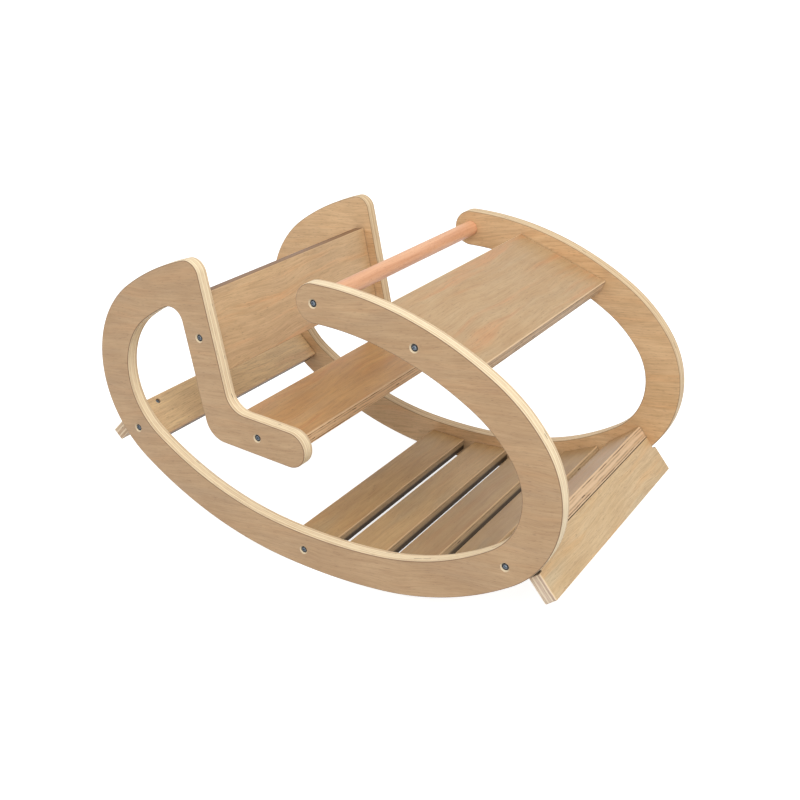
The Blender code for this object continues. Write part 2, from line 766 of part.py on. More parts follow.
def stand_in_balance():
    """Turns the rocker about the centre of its sole until its centre of mass is below that centre, sets
    it on z = 0 and moves it along X so that the origin is below the middle of its length."""
    bpy.context.view_layer.update()
    graph = bpy.context.evaluated_depsgraph_get()
    mass, first_x, first_z = (sum(values) for values in zip(*(moments(p, graph) for p in nodes())))
    centre_x, centre_z = first_x / mass, first_z / mass
    lean = math.atan2(centre_x, SOLE_RADIUS - centre_z)
    sole_centre = Vector((0.0, 0.0, SOLE_RADIUS))
    turn = (
        Matrix.Translation(sole_centre)
        @ Matrix.Rotation(lean, 4, "Y")
        @ Matrix.Translation(-sole_centre)
    )
    everything = [o.data for o in bpy.context.scene.objects]
    for mesh in everything:
        mesh.transform(turn)
    points = [vertex.co for piece in nodes() for vertex in piece.data.vertices]
    middle = (min(p.x for p in points) + max(p.x for p in points)) / 2
    shift = Matrix.Translation((-middle, 0.0, -min(p.z for p in points)))
    for mesh in everything:
        mesh.transform(shift)
    moved = shift.translation * 1000
    print(f"mass {mass:.3f} kg, centre {centre_x * 1000:.1f}, {centre_z * 1000:.1f} mm before the turn")
    print(f"lean {math.degrees(lean):.3f} degrees, then moved {moved.x:.2f}, {moved.z:.2f} mm")


def main():
    for existing in list(bpy.data.objects):
        bpy.data.objects.remove(existing, do_unlink=True)
    build_rocker()
    stand_in_balance()


main()
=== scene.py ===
"""Wooden balance rocker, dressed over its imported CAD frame.

Every piece is a surface worked out with numpy: a section carried along a line, or a round shape as a
function of angle and depth. Lengths are metres, +Z is up and +X is the way the rider faces. The side
outline is drawn flat, in (x, z), from the point where the sole touches the floor, and is then turned
by the small lean at which the rocker stands in balance.
"""

import logging
import math
from dataclasses import dataclass, field
from enum import Enum
from typing import Optional, Sequence, Union

import bpy
import numpy as np
from mathutils import Matrix, Vector
from mathutils.geometry import tessellate_polygon


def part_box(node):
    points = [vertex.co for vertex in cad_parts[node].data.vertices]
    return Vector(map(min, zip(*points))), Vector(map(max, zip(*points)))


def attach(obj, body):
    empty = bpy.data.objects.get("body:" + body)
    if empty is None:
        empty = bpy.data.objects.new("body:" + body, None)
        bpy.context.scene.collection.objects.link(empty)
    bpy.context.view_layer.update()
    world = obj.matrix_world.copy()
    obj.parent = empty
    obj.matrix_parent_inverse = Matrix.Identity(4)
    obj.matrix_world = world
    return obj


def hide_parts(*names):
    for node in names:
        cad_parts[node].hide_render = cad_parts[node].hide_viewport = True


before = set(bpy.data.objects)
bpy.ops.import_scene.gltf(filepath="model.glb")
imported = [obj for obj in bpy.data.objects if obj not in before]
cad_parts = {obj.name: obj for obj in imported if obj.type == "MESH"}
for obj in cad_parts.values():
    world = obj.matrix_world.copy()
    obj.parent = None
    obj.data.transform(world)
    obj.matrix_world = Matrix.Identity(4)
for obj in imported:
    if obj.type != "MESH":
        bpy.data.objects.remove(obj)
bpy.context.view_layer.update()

log = logging.getLogger("balance_rocker")

Array = np.ndarray
Colour = tuple[float, float, float]
Socket = bpy.types.NodeSocket
Operand = Union[Socket, float, int]


class Side(Enum):
    """The two sides of the rocker, as the sign of their Y."""

    RIGHT = -1
    LEFT = 1

    @property
    def label(self) -> str:
        """The word that starts the names of the pieces on this side."""
        return self.name.lower()


class Slot(Enum):
    """The record's material slots."""

    PANEL = "panel_plywood"
    BOARD = "board_plywood"
    BEECH = "beech"
    PIN = "pin_wood"
    STEEL = "steel"


# Flat geometry in the (x, z) plane


def heading(degrees: float) -> Array:
    """The unit direction at an angle from +x towards +z.

    Args:
        degrees: The angle.

    Returns:
        The direction as (x, z).
    """
    return np.array([math.cos(math.radians(degrees)), math.sin(math.radians(degrees))])


def left_of(direction: Array) -> Array:
    """A direction turned a quarter turn to the left.

    Args:
        direction: One (x, z) direction, or many as rows.

    Returns:
        The turned direction or directions.
    """
    return np.stack([-direction[..., 1], direction[..., 0]], axis=-1)


def turned(points: Array, radians: float) -> Array:
    """Points turned about (0, 0): x' = x cos a - z sin a and z' = x sin a + z cos a.

    Args:
        points: Rows of (x, z).
        radians: The turn, positive from +x towards +z.

    Returns:
        The turned rows.
    """
    c, s = math.cos(radians), math.sin(radians)
    return points @ np.array([[c, s], [-s, c]])


class Trace:
    """A pen line in the (x, z) plane, made of arcs and kept as fine rows of points."""

    STEP = 0.0022
    FEWEST_STEPS = 6

    def __init__(self, start: Array, facing: float) -> None:
        """Sets the pen down.

        Args:
            start: The first point.
            facing: The pen's direction in degrees from +x.
        """
        self.runs = [np.asarray(start, float)[None, :]]
        self.facing = facing

    @property
    def points(self) -> Array:
        """All points so far, as rows."""
        return np.vstack(self.runs)

    def centre(self, radius: float, turn: float) -> Array:
        """The centre of the arc that a turn from here would follow."""
        return self.runs[-1][-1] + left_of(heading(self.facing)) * math.copysign(radius, turn)

    def arc(self, radius: float, turn: float) -> "Trace":
        """Follows an arc. Each point is the centre plus the first spoke turned by a share of the turn.

        Args:
            radius: The arc's radius.
            turn: Its turn in degrees, above 0 to the left.

        Returns:
            This trace.
        """
        centre = self.centre(radius, turn)
        spoke = self.runs[-1][-1] - centre
        steps = max(int(math.ceil(radius * abs(math.radians(turn)) / self.STEP)), self.FEWEST_STEPS)
        angles = np.radians(turn) * np.arange(1, steps + 1) / steps
        c, s = np.cos(angles), np.sin(angles)
        self.runs.append(
            centre + np.stack([spoke[0] * c - spoke[1] * s, spoke[0] * s + spoke[1] * c], axis=1)
        )
        self.facing += turn
        return self


def arc_between(centre: Array, start: Array, end: Array, to_left: bool) -> Array:
    """The points of an arc about a centre, its two ends included.

    Args:
        centre: The arc's centre.
        start: Its first point.
        end: A point in the direction of its last point.
        to_left: Whether the arc turns left.

    Returns:
        Rows of points.
    """
    first, last = start - centre, end - centre
    turn = math.degrees(
        math.atan2(first[0] * last[1] - first[1] * last[0], float(first @ last))
    )
    if to_left and turn < 0:
        turn += 360
    if not to_left and turn > 0:
        turn -= 360
    facing = math.degrees(math.atan2(first[1], first[0])) + (90 if to_left else -90)
    return Trace(start, facing).arc(float(np.linalg.norm(first)), turn).points


def rounded_corner(corner: Array, arriving: Array, leaving: Array, radius: float) -> Array:
    """The points that round a corner between two straight edges with one arc.

    Args:
        corner: Where the edges would meet.
        arriving: Unit direction of the edge that comes in.
        leaving: Unit direction of the edge that goes out.
        radius: The arc's radius.

    Returns:
        Rows of points.
    """
    turn = math.atan2(
        arriving[0] * leaving[1] - arriving[1] * leaving[0], float(arriving @ leaving)
    )
    reach = radius * math.tan(abs(turn) / 2)
    start, end = corner - arriving * reach, corner + leaving * reach
    centre = start + left_of(arriving) * math.copysign(radius, turn)
    return arc_between(centre, start, end, turn > 0)


def crossing(point: Array, direction: Array, other: Array, other_direction: Array) -> Array:
    """Where two lines cross, each given by a point and a direction."""
    normal = left_of(other_direction)
    return point + direction * (float((other - point) @ normal) / float(direction @ normal))


def outward_normals(outline: Array) -> Array:
    """The outward unit normal at each point of a closed line that has its material on the left.

    Each is the mean of the normals of the two runs that meet there, lengthened so that a step along it
    keeps the same distance from both runs.

    Args:
        outline: Rows of (x, z).

    Returns:
        Rows of (x, z), near unit length.
    """
    runs = np.roll(outline, -1, axis=0) - outline
    runs /= np.linalg.norm(runs, axis=1, keepdims=True)
    outward = -left_of(runs)
    mean = outward + np.roll(outward, 1, axis=0)
    mean /= np.linalg.norm(mean, axis=1, keepdims=True)
    return mean / np.sum(mean * outward, axis=1, keepdims=True)


@dataclass(frozen=True)
class Place:
    """Where a board's section lies in the (x, z) plane: its centre, and the direction of its width."""

    centre: Array
    along: Array

    @property
    def upward(self) -> Array:
        """The direction of its thickness, a quarter turn left of its width."""
        return left_of(self.along)

    def point(self, along: float, up: float = 0.0) -> Array:
        """A point at a distance along the width and up the thickness from the centre."""
        return self.centre + self.along * along + self.upward * up


@dataclass(frozen=True)
class TimberAxes:
    """How a piece was cut from its sheet or stick: its grain, its width and its thickness as axes.

    The shift slides the figure of the wood along and across, so that no two pieces show the same.
    """

    origin: Array
    along: Array
    across: Array
    through: Array
    shift: tuple[float, float] = (0.0, 0.0)

    def coordinates(self, points: Array) -> Array:
        """Each point's distance along the grain, across it and through the thickness.

        Args:
            points: Rows of positions.

        Returns:
            Rows of the three distances, slid by the shift.
        """
        local = (points - self.origin) @ np.stack([self.along, self.across, self.through], axis=1)
        local[:, 0] += self.shift[0]
        local[:, 1] += self.shift[1]
        return local

    def facing(self, normals: Array) -> Array:
        """How much each normal points along, across and through the wood, from -1 to 1."""
        return normals @ np.stack([self.along, self.across, self.through], axis=1)


# Surfaces


@dataclass(frozen=True)
class Axis:
    """A line through a round shape: a point on it, the way that depth grows, and a direction across."""

    origin: Array
    inward: Array
    across: Array

    @property
    def third(self) -> Array:
        """The direction that is square to the axis and to the direction across."""
        return np.cross(self.inward, self.across)

    @property
    def timber(self) -> TimberAxes:
        """The wood's axes of a stick whose grain runs along this axis."""
        return TimberAxes(self.origin, self.inward, self.across, self.third)

    def spokes(self, count: int, turn: float = 0.0) -> Array:
        """Unit directions round the axis: cos a times across, plus sin a times the third direction.

        Args:
            count: How many, evenly spread.
            turn: The angle of the first, in degrees.

        Returns:
            One row for each.
        """
        angles = (2 * np.pi * np.arange(count) / count + math.radians(turn))[:, None]
        return np.cos(angles) * self.across + np.sin(angles) * self.third

    def ring(self, radius: float, depth: float, count: int) -> Array:
        """The circle of a radius at a depth: the axis point there plus the radius times each spoke."""
        return self.origin + self.inward * depth + self.spokes(count) * radius


@dataclass(frozen=True)
class Bore:
    """A round hole: its axis from the middle of its mouth, and its radius at one depth after another.

    A bore that goes right through ends in the other face, and a blind one in a flat floor.
    """

    axis: Axis
    radii: tuple[float, ...]
    depths: tuple[float, ...]
    blind: bool = True
    sides: int = 24

    def rim(self, level: int) -> Array:
        """The circle at one of the levels."""
        return self.axis.ring(self.radii[level], self.depths[level], self.sides)


class Skin:
    """The closed surface of one piece, gathered patch by patch and welded into a mesh."""

    WELD = 1e-7

    def __init__(self) -> None:
        """Starts with no patches."""
        self.points: list[Array] = []
        self.normals: list[Array] = []
        self.faces: list[Array] = []
        self.drilled: list[Array] = []
        self.count = 0

    def _keep(self, points: Array, normals: Array, faces: Array, drilled: bool = False) -> None:
        """Keeps a patch, its faces turned round where they look the wrong way.

        Args:
            points: Rows of positions.
            normals: A unit normal for each position.
            faces: Rows of indices into them, all of three or all of four corners.
            drilled: Whether a drill cut it.
        """
        corners = points[faces]
        crosses = np.cross(corners[:, 1] - corners[:, 0], corners[:, 2] - corners[:, 0])
        backward = np.sum(crosses * normals[faces].mean(axis=1), axis=1) < 0
        faces = np.where(backward[:, None], faces[:, ::-1], faces)
        self.points.append(points)
        self.normals.append(normals)
        self.faces.append(faces + self.count)
        self.drilled.append(np.full(faces.size, float(drilled), np.float32))
        self.count += len(points)

    def grid(
        self, points: Array, normals: Array, skip: Sequence[tuple[int, int]] = (), drilled: bool = False
    ) -> None:
        """Adds a surface of two parameters: the cell (i, j) joins rows i, i + 1 and columns j, j + 1.

        The last column joins the first.

        Args:
            points: Positions, as rows by columns by 3.
            normals: The unit normal at each of them.
            skip: Cells, as (row, column), that another patch covers.
            drilled: Whether a drill cut it.
        """
        rows, columns = points.shape[:2]
        index = np.arange(rows * columns).reshape(rows, columns)
        following = np.roll(index, -1, axis=1)
        cells = np.stack([index[:-1], following[:-1], following[1:], index[1:]], axis=-1)
        wanted = np.ones(cells.shape[:2], bool)
        for row, column in skip:
            wanted[row, column] = False
        self._keep(points.reshape(-1, 3), normals.reshape(-1, 3), cells[wanted], drilled)

    def flat(self, loops: Sequence[Array], normal: Array) -> None:
        """Adds a flat face with holes: the first loop bounds it and the others are its holes.

        Args:
            loops: Closed rows of positions in one plane.
            normal: The way that the face looks.
        """
        points = np.vstack(loops)
        triangles = tessellate_polygon([[Vector(p) for p in loop] for loop in loops])
        self._keep(points, np.broadcast_to(normal, points.shape), np.array(triangles, int))

    def revolved(self, axis: "Axis", radii: Array, depths: Array) -> None:
        """Adds a round surface: the axis point at each depth, plus radius(depth, angle) times a spoke.

        Its normal is the cross product of the steps around and along it, turned away from the axis.

        Args:
            axis: The axis that it stands on.
            radii: Radius for each row of depth and each column of angle.
            depths: The depth of each row.
        """
        spokes = axis.spokes(radii.shape[1])
        points = axis.origin + depths[:, None, None] * axis.inward + radii[..., None] * spokes
        along = np.gradient(points, axis=0)
        around = np.roll(points, -1, axis=1) - np.roll(points, 1, axis=1)
        normals = np.cross(around, along)
        normals /= np.linalg.norm(normals, axis=2, keepdims=True)
        if np.sum(normals * spokes) < 0:
            normals = -normals
        self.grid(points, normals)

    def bored(self, bore: "Bore") -> None:
        """Adds the wall of a hole, a cone for each pair of levels, and the floor of a blind one.

        A cone's normal is square to its slope and looks towards the axis.

        Args:
            bore: The hole.
        """
        spokes = bore.axis.spokes(bore.sides)
        for level in range(len(bore.radii) - 1):
            widening = bore.radii[level + 1] - bore.radii[level]
            deepening = bore.depths[level + 1] - bore.depths[level]
            normals = bore.axis.inward * widening - spokes * deepening
            normals /= np.linalg.norm(normals, axis=1, keepdims=True)
            rims = np.stack([bore.rim(level), bore.rim(level + 1)])
            self.grid(rims, np.stack([normals, normals]), drilled=True)
        if bore.blind:
            self.flat([bore.rim(-1)], -bore.axis.inward)

    def carried(
        self,
        outline: Array,
        ends: tuple[float, float],
        rounding: float,
        steps: int,
        mouths: tuple[Sequence[Array], Sequence[Array]] = ((), ()),
        wall_mouths: Optional[dict[int, list[Array]]] = None,
    ) -> None:
        """Adds a section carried along Y, with a rounding at both ends and holes in its faces.

        The rounding is a quarter circle. At angle a, 0 on the end face and 90 degrees on the wall, the
        line stands rounding * (1 - sin a) inside the outline and rounding * (1 - cos a) short of the
        end face, and the normal is outward * sin a plus the end face's normal * cos a.

        Args:
            outline: The section, closed rows of (x, z) with the wood on the left.
            ends: Y of the lower and the upper end face.
            rounding: Radius of the quarter circle.
            steps: Facets of the quarter circle.
            mouths: The rims of the holes in the lower and in the upper end face.
            wall_mouths: The rims of the holes in a straight wall, by the outline's point where it starts.
        """
        outward = outward_normals(outline)
        level = outward / np.linalg.norm(outward, axis=1, keepdims=True)
        quarter = np.linspace(0.0, math.pi / 2, steps + 1)
        angles = np.concatenate([quarter, quarter[::-1]])[:, None]
        sign = np.repeat([1.0, -1.0], steps + 1)[:, None]
        end = np.repeat(ends, steps + 1)[:, None]
        inset = rounding * (1 - np.sin(angles))
        ys = np.broadcast_to(end + sign * rounding * (1 - np.cos(angles)), (len(angles), len(outline)))
        xs, zs = outline[:, 0] - outward[:, 0] * inset, outline[:, 1] - outward[:, 1] * inset
        points = np.stack([xs, ys, zs], axis=2)
        tilt = np.broadcast_to(-sign * np.cos(angles), xs.shape)
        normals = np.stack([level[:, 0] * np.sin(angles), tilt, level[:, 1] * np.sin(angles)], axis=2)
        wall_mouths = wall_mouths or {}
        self.grid(points, normals, skip=[(steps, column) for column in wall_mouths])
        for column, rims in wall_mouths.items():
            pair = [column, (column + 1) % len(outline)]
            wall = np.vstack([points[steps, pair], points[steps + 1, pair[::-1]]])
            self.flat([wall, *rims], normals[steps, column])
        self.flat([points[0], *mouths[0]], np.array([0.0, -1.0, 0.0]))
        self.flat([points[-1], *mouths[1]], np.array([0.0, 1.0, 0.0]))

    def laid(self, origin: Array, axes: Array) -> None:
        """Moves all patches from axes of their own into the rocker's.

        A point becomes the origin plus each of its three numbers times that row of axes, and a normal
        is turned the same way.

        Args:
            origin: Where their own (0, 0, 0) lies.
            axes: Their x, y and z directions as rows, right-handed.
        """
        self.points = [points @ axes + origin for points in self.points]
        self.normals = [normals @ axes for normals in self.normals]

    def made(self, name: str, axes: TimberAxes) -> bpy.types.Object:
        """Welds the patches into one mesh and makes its object, at the origin.

        Points that coincide become one, and each face corner keeps the normal of its own patch, so a
        crease stays sharp and a rounding stays smooth. The wood's coordinates go in as attributes.

        Args:
            name: The object's name.
            axes: How the piece was cut.

        Returns:
            The object, linked to the scene.
        """
        points, normals = np.vstack(self.points), np.vstack(self.normals)
        _, first, index = np.unique(
            np.round(points / self.WELD).astype(np.int64), axis=0, return_index=True, return_inverse=True
        )
        index, kept = index.reshape(-1), points[first]
        mesh = bpy.data.meshes.new(name)
        mesh.from_pydata(kept.tolist(), [], sum((index[faces].tolist() for faces in self.faces), []))
        mesh.polygons.foreach_set("use_smooth", np.ones(len(mesh.polygons), bool))
        corners = np.concatenate([faces.ravel() for faces in self.faces])
        mesh.normals_split_custom_set(normals[corners].tolist())
        timber = mesh.attributes.new("timber", "FLOAT_VECTOR", "POINT")
        timber.data.foreach_set("vector", axes.coordinates(kept).astype(np.float32).ravel())
        facing = mesh.attributes.new("facing", "FLOAT_VECTOR", "CORNER")
        facing.data.foreach_set("vector", axes.facing(normals[corners]).astype(np.float32).ravel())
        drilled = mesh.attributes.new("drilled", "FLOAT", "CORNER")
        drilled.data.foreach_set("value", np.concatenate(self.drilled))
        made = bpy.data.objects.new(name, mesh)
        bpy.context.scene.collection.objects.link(made)
        return made


def in_space(point: Array, y: float) -> Array:
    """An (x, z) point or direction put at a Y in space."""
    return np.array([point[0], y, point[1]])


def along_y(centre: Array, y: float, sign: float) -> Axis:
    """An axis along Y from an (x, z) centre at a Y, its depth growing the way of the sign."""
    return Axis(in_space(centre, y), np.array([0.0, sign, 0.0]), np.array([1.0, 0.0, 0.0]))


# Finishes


def srgb(red: float, green: float, blue: float) -> Colour:
    """A colour given as it looks on a screen, as the linear numbers that a shader takes.

    Args:
        red: Its red, 0 to 255.
        green: Its green, 0 to 255.
        blue: Its blue, 0 to 255.

    Returns:
        The three linear numbers, 0 to 1.
    """
    shares = np.array([red, green, blue]) / 255.0
    linear = np.where(shares <= 0.04045, shares / 12.92, ((shares + 0.055) / 1.055) ** 2.4)
    return float(linear[0]), float(linear[1]), float(linear[2])


class Graph:
    """A material's node tree, with short methods that add a node and return its output."""

    def __init__(self, name: str) -> None:
        """Makes a material whose tree holds only its output.

        Args:
            name: The material's name.
        """
        self.material = bpy.data.materials.new(name)
        self.material.use_nodes = True
        self.tree = self.material.node_tree
        self.tree.nodes.clear()
        self.output = self.tree.nodes.new("ShaderNodeOutputMaterial")

    def _set(self, socket: Socket, value: Union[Operand, Sequence[float]]) -> None:
        """Links an output to a socket, or sets the socket to a constant.

        Args:
            socket: The input to fill.
            value: An output, a number, or the numbers of a vector or colour.
        """
        if isinstance(value, bpy.types.NodeSocket):
            self.tree.links.new(value, socket)
        elif hasattr(socket.default_value, "__len__"):
            wide = len(socket.default_value)
            filled = list(value) if hasattr(value, "__len__") else [float(value)] * 3
            socket.default_value = (filled + [1.0])[:wide]
        else:
            socket.default_value = value

    def attribute(self, name: str, output: str = "Vector") -> Socket:
        """An attribute of the mesh.

        Args:
            name: The attribute.
            output: "Vector" for one of three numbers, "Fac" for one of one number.

        Returns:
            Its value.
        """
        node = self.tree.nodes.new("ShaderNodeAttribute")
        node.attribute_name = name
        return node.outputs[output]

    def math(self, operation: str, a: Operand, b: Operand = 0.0, clamp: bool = False) -> Socket:
        """One Math node.

        Args:
            operation: What it does.
            a: Its first number.
            b: Its second number.
            clamp: Whether the result is held between 0 and 1.

        Returns:
            The result.
        """
        node = self.tree.nodes.new("ShaderNodeMath")
        node.operation = operation
        node.use_clamp = clamp
        self._set(node.inputs[0], a)
        self._set(node.inputs[1], b)
        return node.outputs[0]

    def scaled(self, value: Operand, factor: float) -> Socket:
        """A number times a factor."""
        return self.math("MULTIPLY", value, factor)

    def vector(self, operation: str, a: Operand, b: Union[Operand, Sequence[float]] = 0.0) -> Socket:
        """One Vector Math node.

        Args:
            operation: What it does.
            a: Its first vector.
            b: Its second vector.

        Returns:
            The result.
        """
        node = self.tree.nodes.new("ShaderNodeVectorMath")
        node.operation = operation
        self._set(node.inputs[0], a)
        self._set(node.inputs[1], b)
        return node.outputs[0]

    def split(self, vector: Socket) -> tuple[Socket, Socket, Socket]:
        """The three parts of a vector.

        Args:
            vector: The vector.

        Returns:
            Its first, second and third number.
        """
        node = self.tree.nodes.new("ShaderNodeSeparateXYZ")
        self._set(node.inputs[0], vector)
        return node.outputs[0], node.outputs[1], node.outputs[2]

    def joined(self, x: Operand, y: Operand, z: Operand) -> Socket:
        """A vector from three parts.

        Args:
            x: Its first number.
            y: Its second number.
            z: Its third number.

        Returns:
            The vector.
        """
        node = self.tree.nodes.new("ShaderNodeCombineXYZ")
        for socket, value in zip(node.inputs, (x, y, z)):
            self._set(socket, value)
        return node.outputs[0]

    def noise(
        self, vector: Socket, stretch: Sequence[float], detail: float = 2.0, roughness: float = 0.5
    ) -> Socket:
        """Noise over a vector that is first multiplied by a stretch, in cycles per metre.

        Args:
            vector: Where to read it.
            stretch: Cycles per metre along each part.
            detail: Octaves.
            roughness: Weight of the finer octaves.

        Returns:
            The factor, about 0.5 on average.
        """
        node = self.tree.nodes.new("ShaderNodeTexNoise")
        self._set(node.inputs["Vector"], self.vector("MULTIPLY", vector, stretch))
        node.inputs["Scale"].default_value = 1.0
        node.inputs["Detail"].default_value = detail
        node.inputs["Roughness"].default_value = roughness
        return node.outputs["Fac"]

    def chance(self, value: Socket) -> Socket:
        """A number that looks random and depends only on a value.

        Args:
            value: The value.

        Returns:
            The number, 0 to 1.
        """
        node = self.tree.nodes.new("ShaderNodeTexWhiteNoise")
        node.noise_dimensions = "1D"
        self._set(node.inputs["W"], value)
        return node.outputs["Value"]

    def ramp(
        self, value: Operand, low: float, high: float, to_low: float = 0.0, to_high: float = 1.0
    ) -> Socket:
        """A smooth step from one number to another as a value goes from low to high.

        Args:
            value: What is read.
            low: Where the step starts.
            high: Where it ends.
            to_low: The result before the step.
            to_high: The result after it.

        Returns:
            The result.
        """
        node = self.tree.nodes.new("ShaderNodeMapRange")
        node.interpolation_type = "SMOOTHSTEP"
        for socket, number in zip(node.inputs, (value, low, high, to_low, to_high)):
            self._set(socket, number)
        return node.outputs[0]

    def mixed(self, share: Operand, a: Union[Socket, Colour], b: Union[Socket, Colour]) -> Socket:
        """Two colours blended.

        Args:
            share: How much of the second, 0 to 1.
            a: The first colour.
            b: The second colour.

        Returns:
            The blend.
        """
        node = self.tree.nodes.new("ShaderNodeMix")
        node.data_type = "RGBA"
        node.clamp_factor = True
        self._set(node.inputs["Factor"], share)
        self._set(node.inputs[6], a)
        self._set(node.inputs[7], b)
        return node.outputs[2]

    def bumped(self, height: Socket, strength: float, distance: float) -> Socket:
        """A normal tilted by the slope of a height.

        Args:
            height: The height, as a share of the distance.
            strength: How much of the tilt is shown, 0 to 1.
            distance: What a height of 1 stands for, in metres.

        Returns:
            The normal.
        """
        node = self.tree.nodes.new("ShaderNodeBump")
        node.inputs["Strength"].default_value = strength
        node.inputs["Distance"].default_value = distance
        self._set(node.inputs["Height"], height)
        return node.outputs["Normal"]

    def principled(self, **inputs: Union[Operand, Sequence[float]]) -> bpy.types.Node:
        """A Principled BSDF with its sockets set, joined to the output.

        Args:
            **inputs: Sockets by name, with _ for a space.

        Returns:
            The node.
        """
        node = self.tree.nodes.new("ShaderNodeBsdfPrincipled")
        for name, value in inputs.items():
            self._set(node.inputs[name.replace("_", " ")], value)
        self.tree.links.new(node.outputs[0], self.output.inputs["Surface"])
        return node


@dataclass(frozen=True)
class Plywood:
    """Birch plywood under a clear satin lacquer, as a solid texture of veneers and plies.

    The face shows a rotary-cut veneer: flowing figure lines, warm streaks, ashen clouds, fine fibres and
    small pores along the grain. Every cut edge shows the plies, light and dark in turn, with broken glue
    lines that are strongest at the two outermost joints.
    """

    name: str
    pale: Colour
    deep: Colour
    blush: Colour = srgb(214, 158, 118)
    blush_share: float = 0.25
    ash: Colour = srgb(178, 152, 124)
    ash_share: float = 0.25
    figure: float = 0.14
    edge_pale: Colour = srgb(250, 231, 195)
    edge_deep: Colour = srgb(226, 198, 160)
    glue: Colour = srgb(146, 108, 78)
    glue_share: float = 0.6
    # A pale rim colour is partly paler sanded wood and partly a painted highlight along the rounded edge.
    rim: Colour = srgb(244, 212, 170)
    rim_share: float = 0.5
    # under_shade, end_shade and top_shade set painted shade: darker towards the lower face of a cut edge, at
    # a board's ends where it meets the panels, and on a stop's top edge under its slat.
    under_shade: float = 0.0
    end_shade: float = 0.0
    top_shade: float = 0.0
    thickness: float = 0.018
    plies: int = 7
    roughness: float = 0.46
    gloss: float = 0.42
    coat_share: float = 0.24
    coat_roughness: float = 0.30
    relief: float = 0.0002

    GROWTH_LINE = srgb(150, 112, 78)
    FIBRE = srgb(150, 112, 76)
    PORE = srgb(112, 80, 54)
    GAP = srgb(72, 48, 40)
    # SHADE is the colour of the painted shade.
    SHADE = srgb(34, 22, 15)

    def _face(self, graph: Graph, timber: Socket) -> tuple[Socket, Socket]:
        """The colour of the face veneer, and its height for the bump.

        Contour lines of a noise, stretched along the grain, give the growth lines. Finer noises give
        the streaks, threads, fibres and pores, and coarser ones the clouds and the warm and ashen areas.

        Args:
            graph: The material's node tree.
            timber: The wood's coordinates.

        Returns:
            The colour and the height.
        """
        drift = graph.scaled(graph.math("SUBTRACT", graph.noise(timber, (5.0, 11.0, 5.0)), 0.5), 0.034)
        bent = graph.vector("ADD", timber, graph.joined(0.0, drift, 0.0))
        contours = graph.scaled(graph.noise(bent, (2.6, 13.0, 1.0), roughness=0.45), 13.0)
        rings = graph.math("ABSOLUTE", graph.math("SUBTRACT", graph.math("FRACT", contours), 0.5))
        shown = graph.ramp(graph.noise(timber, (4.0, 9.0, 4.0)), 0.40, 0.62)
        figure = graph.math("MULTIPLY", graph.ramp(rings, 0.26, 0.5), shown)
        fibres = graph.noise(bent, (38.0, 900.0, 60.0), detail=3.0, roughness=0.6)
        threads = graph.noise(bent, (24.0, 380.0, 40.0), detail=2.0, roughness=0.6)
        streaks = graph.noise(bent, (7.0, 120.0, 8.0), detail=3.0, roughness=0.6)
        clouds = graph.noise(timber, (9.0, 17.0, 9.0), detail=3.0, roughness=0.55)
        pores = graph.ramp(graph.noise(bent, (120.0, 1100.0, 200.0), detail=1.0), 0.62, 0.74)
        warm = graph.noise(bent, (4.0, 48.0, 4.0), detail=3.0, roughness=0.6)
        cool = graph.noise(bent, (6.0, 26.0, 6.0), detail=2.0, roughness=0.5)

        broad = graph.ramp(clouds, 0.32, 0.70, 0.0, 0.55)
        tone = graph.math("ADD", broad, graph.ramp(streaks, 0.30, 0.72, 0.0, 0.45))
        colour = graph.mixed(tone, self.pale, self.deep)
        colour = graph.mixed(graph.ramp(cool, 0.50, 0.72, 0.0, self.ash_share), colour, self.ash)
        colour = graph.mixed(graph.ramp(warm, 0.50, 0.70, 0.0, self.blush_share), colour, self.blush)
        colour = graph.mixed(graph.scaled(figure, self.figure), colour, self.GROWTH_LINE)
        colour = graph.mixed(graph.ramp(threads, 0.44, 0.76, 0.0, 0.24), colour, self.FIBRE)
        colour = graph.mixed(graph.ramp(fibres, 0.38, 0.72, 0.0, 0.28), colour, self.FIBRE)
        colour = graph.mixed(graph.scaled(pores, 0.36), colour, self.PORE)
        height = graph.math("SUBTRACT", graph.scaled(fibres, 0.5), graph.scaled(pores, 0.7))
        return colour, height

    def _layers(self, graph: Graph, timber: Socket, share: Socket) -> Socket:
        """The number of plies below a point, from its share of the thickness.

        The share gets a sine added, so that the outer plies are thin and the middle ones thick, and a
        slow noise, so that no joint runs dead straight.

        Args:
            graph: The material's node tree.
            timber: The wood's coordinates.
            share: How far up the thickness the point lies, 0 to 1.

        Returns:
            The number of plies, whole at each joint.
        """
        bulge = graph.scaled(graph.math("SINE", graph.scaled(share, 2 * math.pi)), 0.055)
        wander = graph.math("SUBTRACT", graph.noise(timber, (45.0, 45.0, 0.0), detail=1.0), 0.5)
        even = graph.scaled(graph.math("ADD", share, bulge), float(self.plies))
        return graph.math("ADD", even, graph.scaled(wander, 0.32))

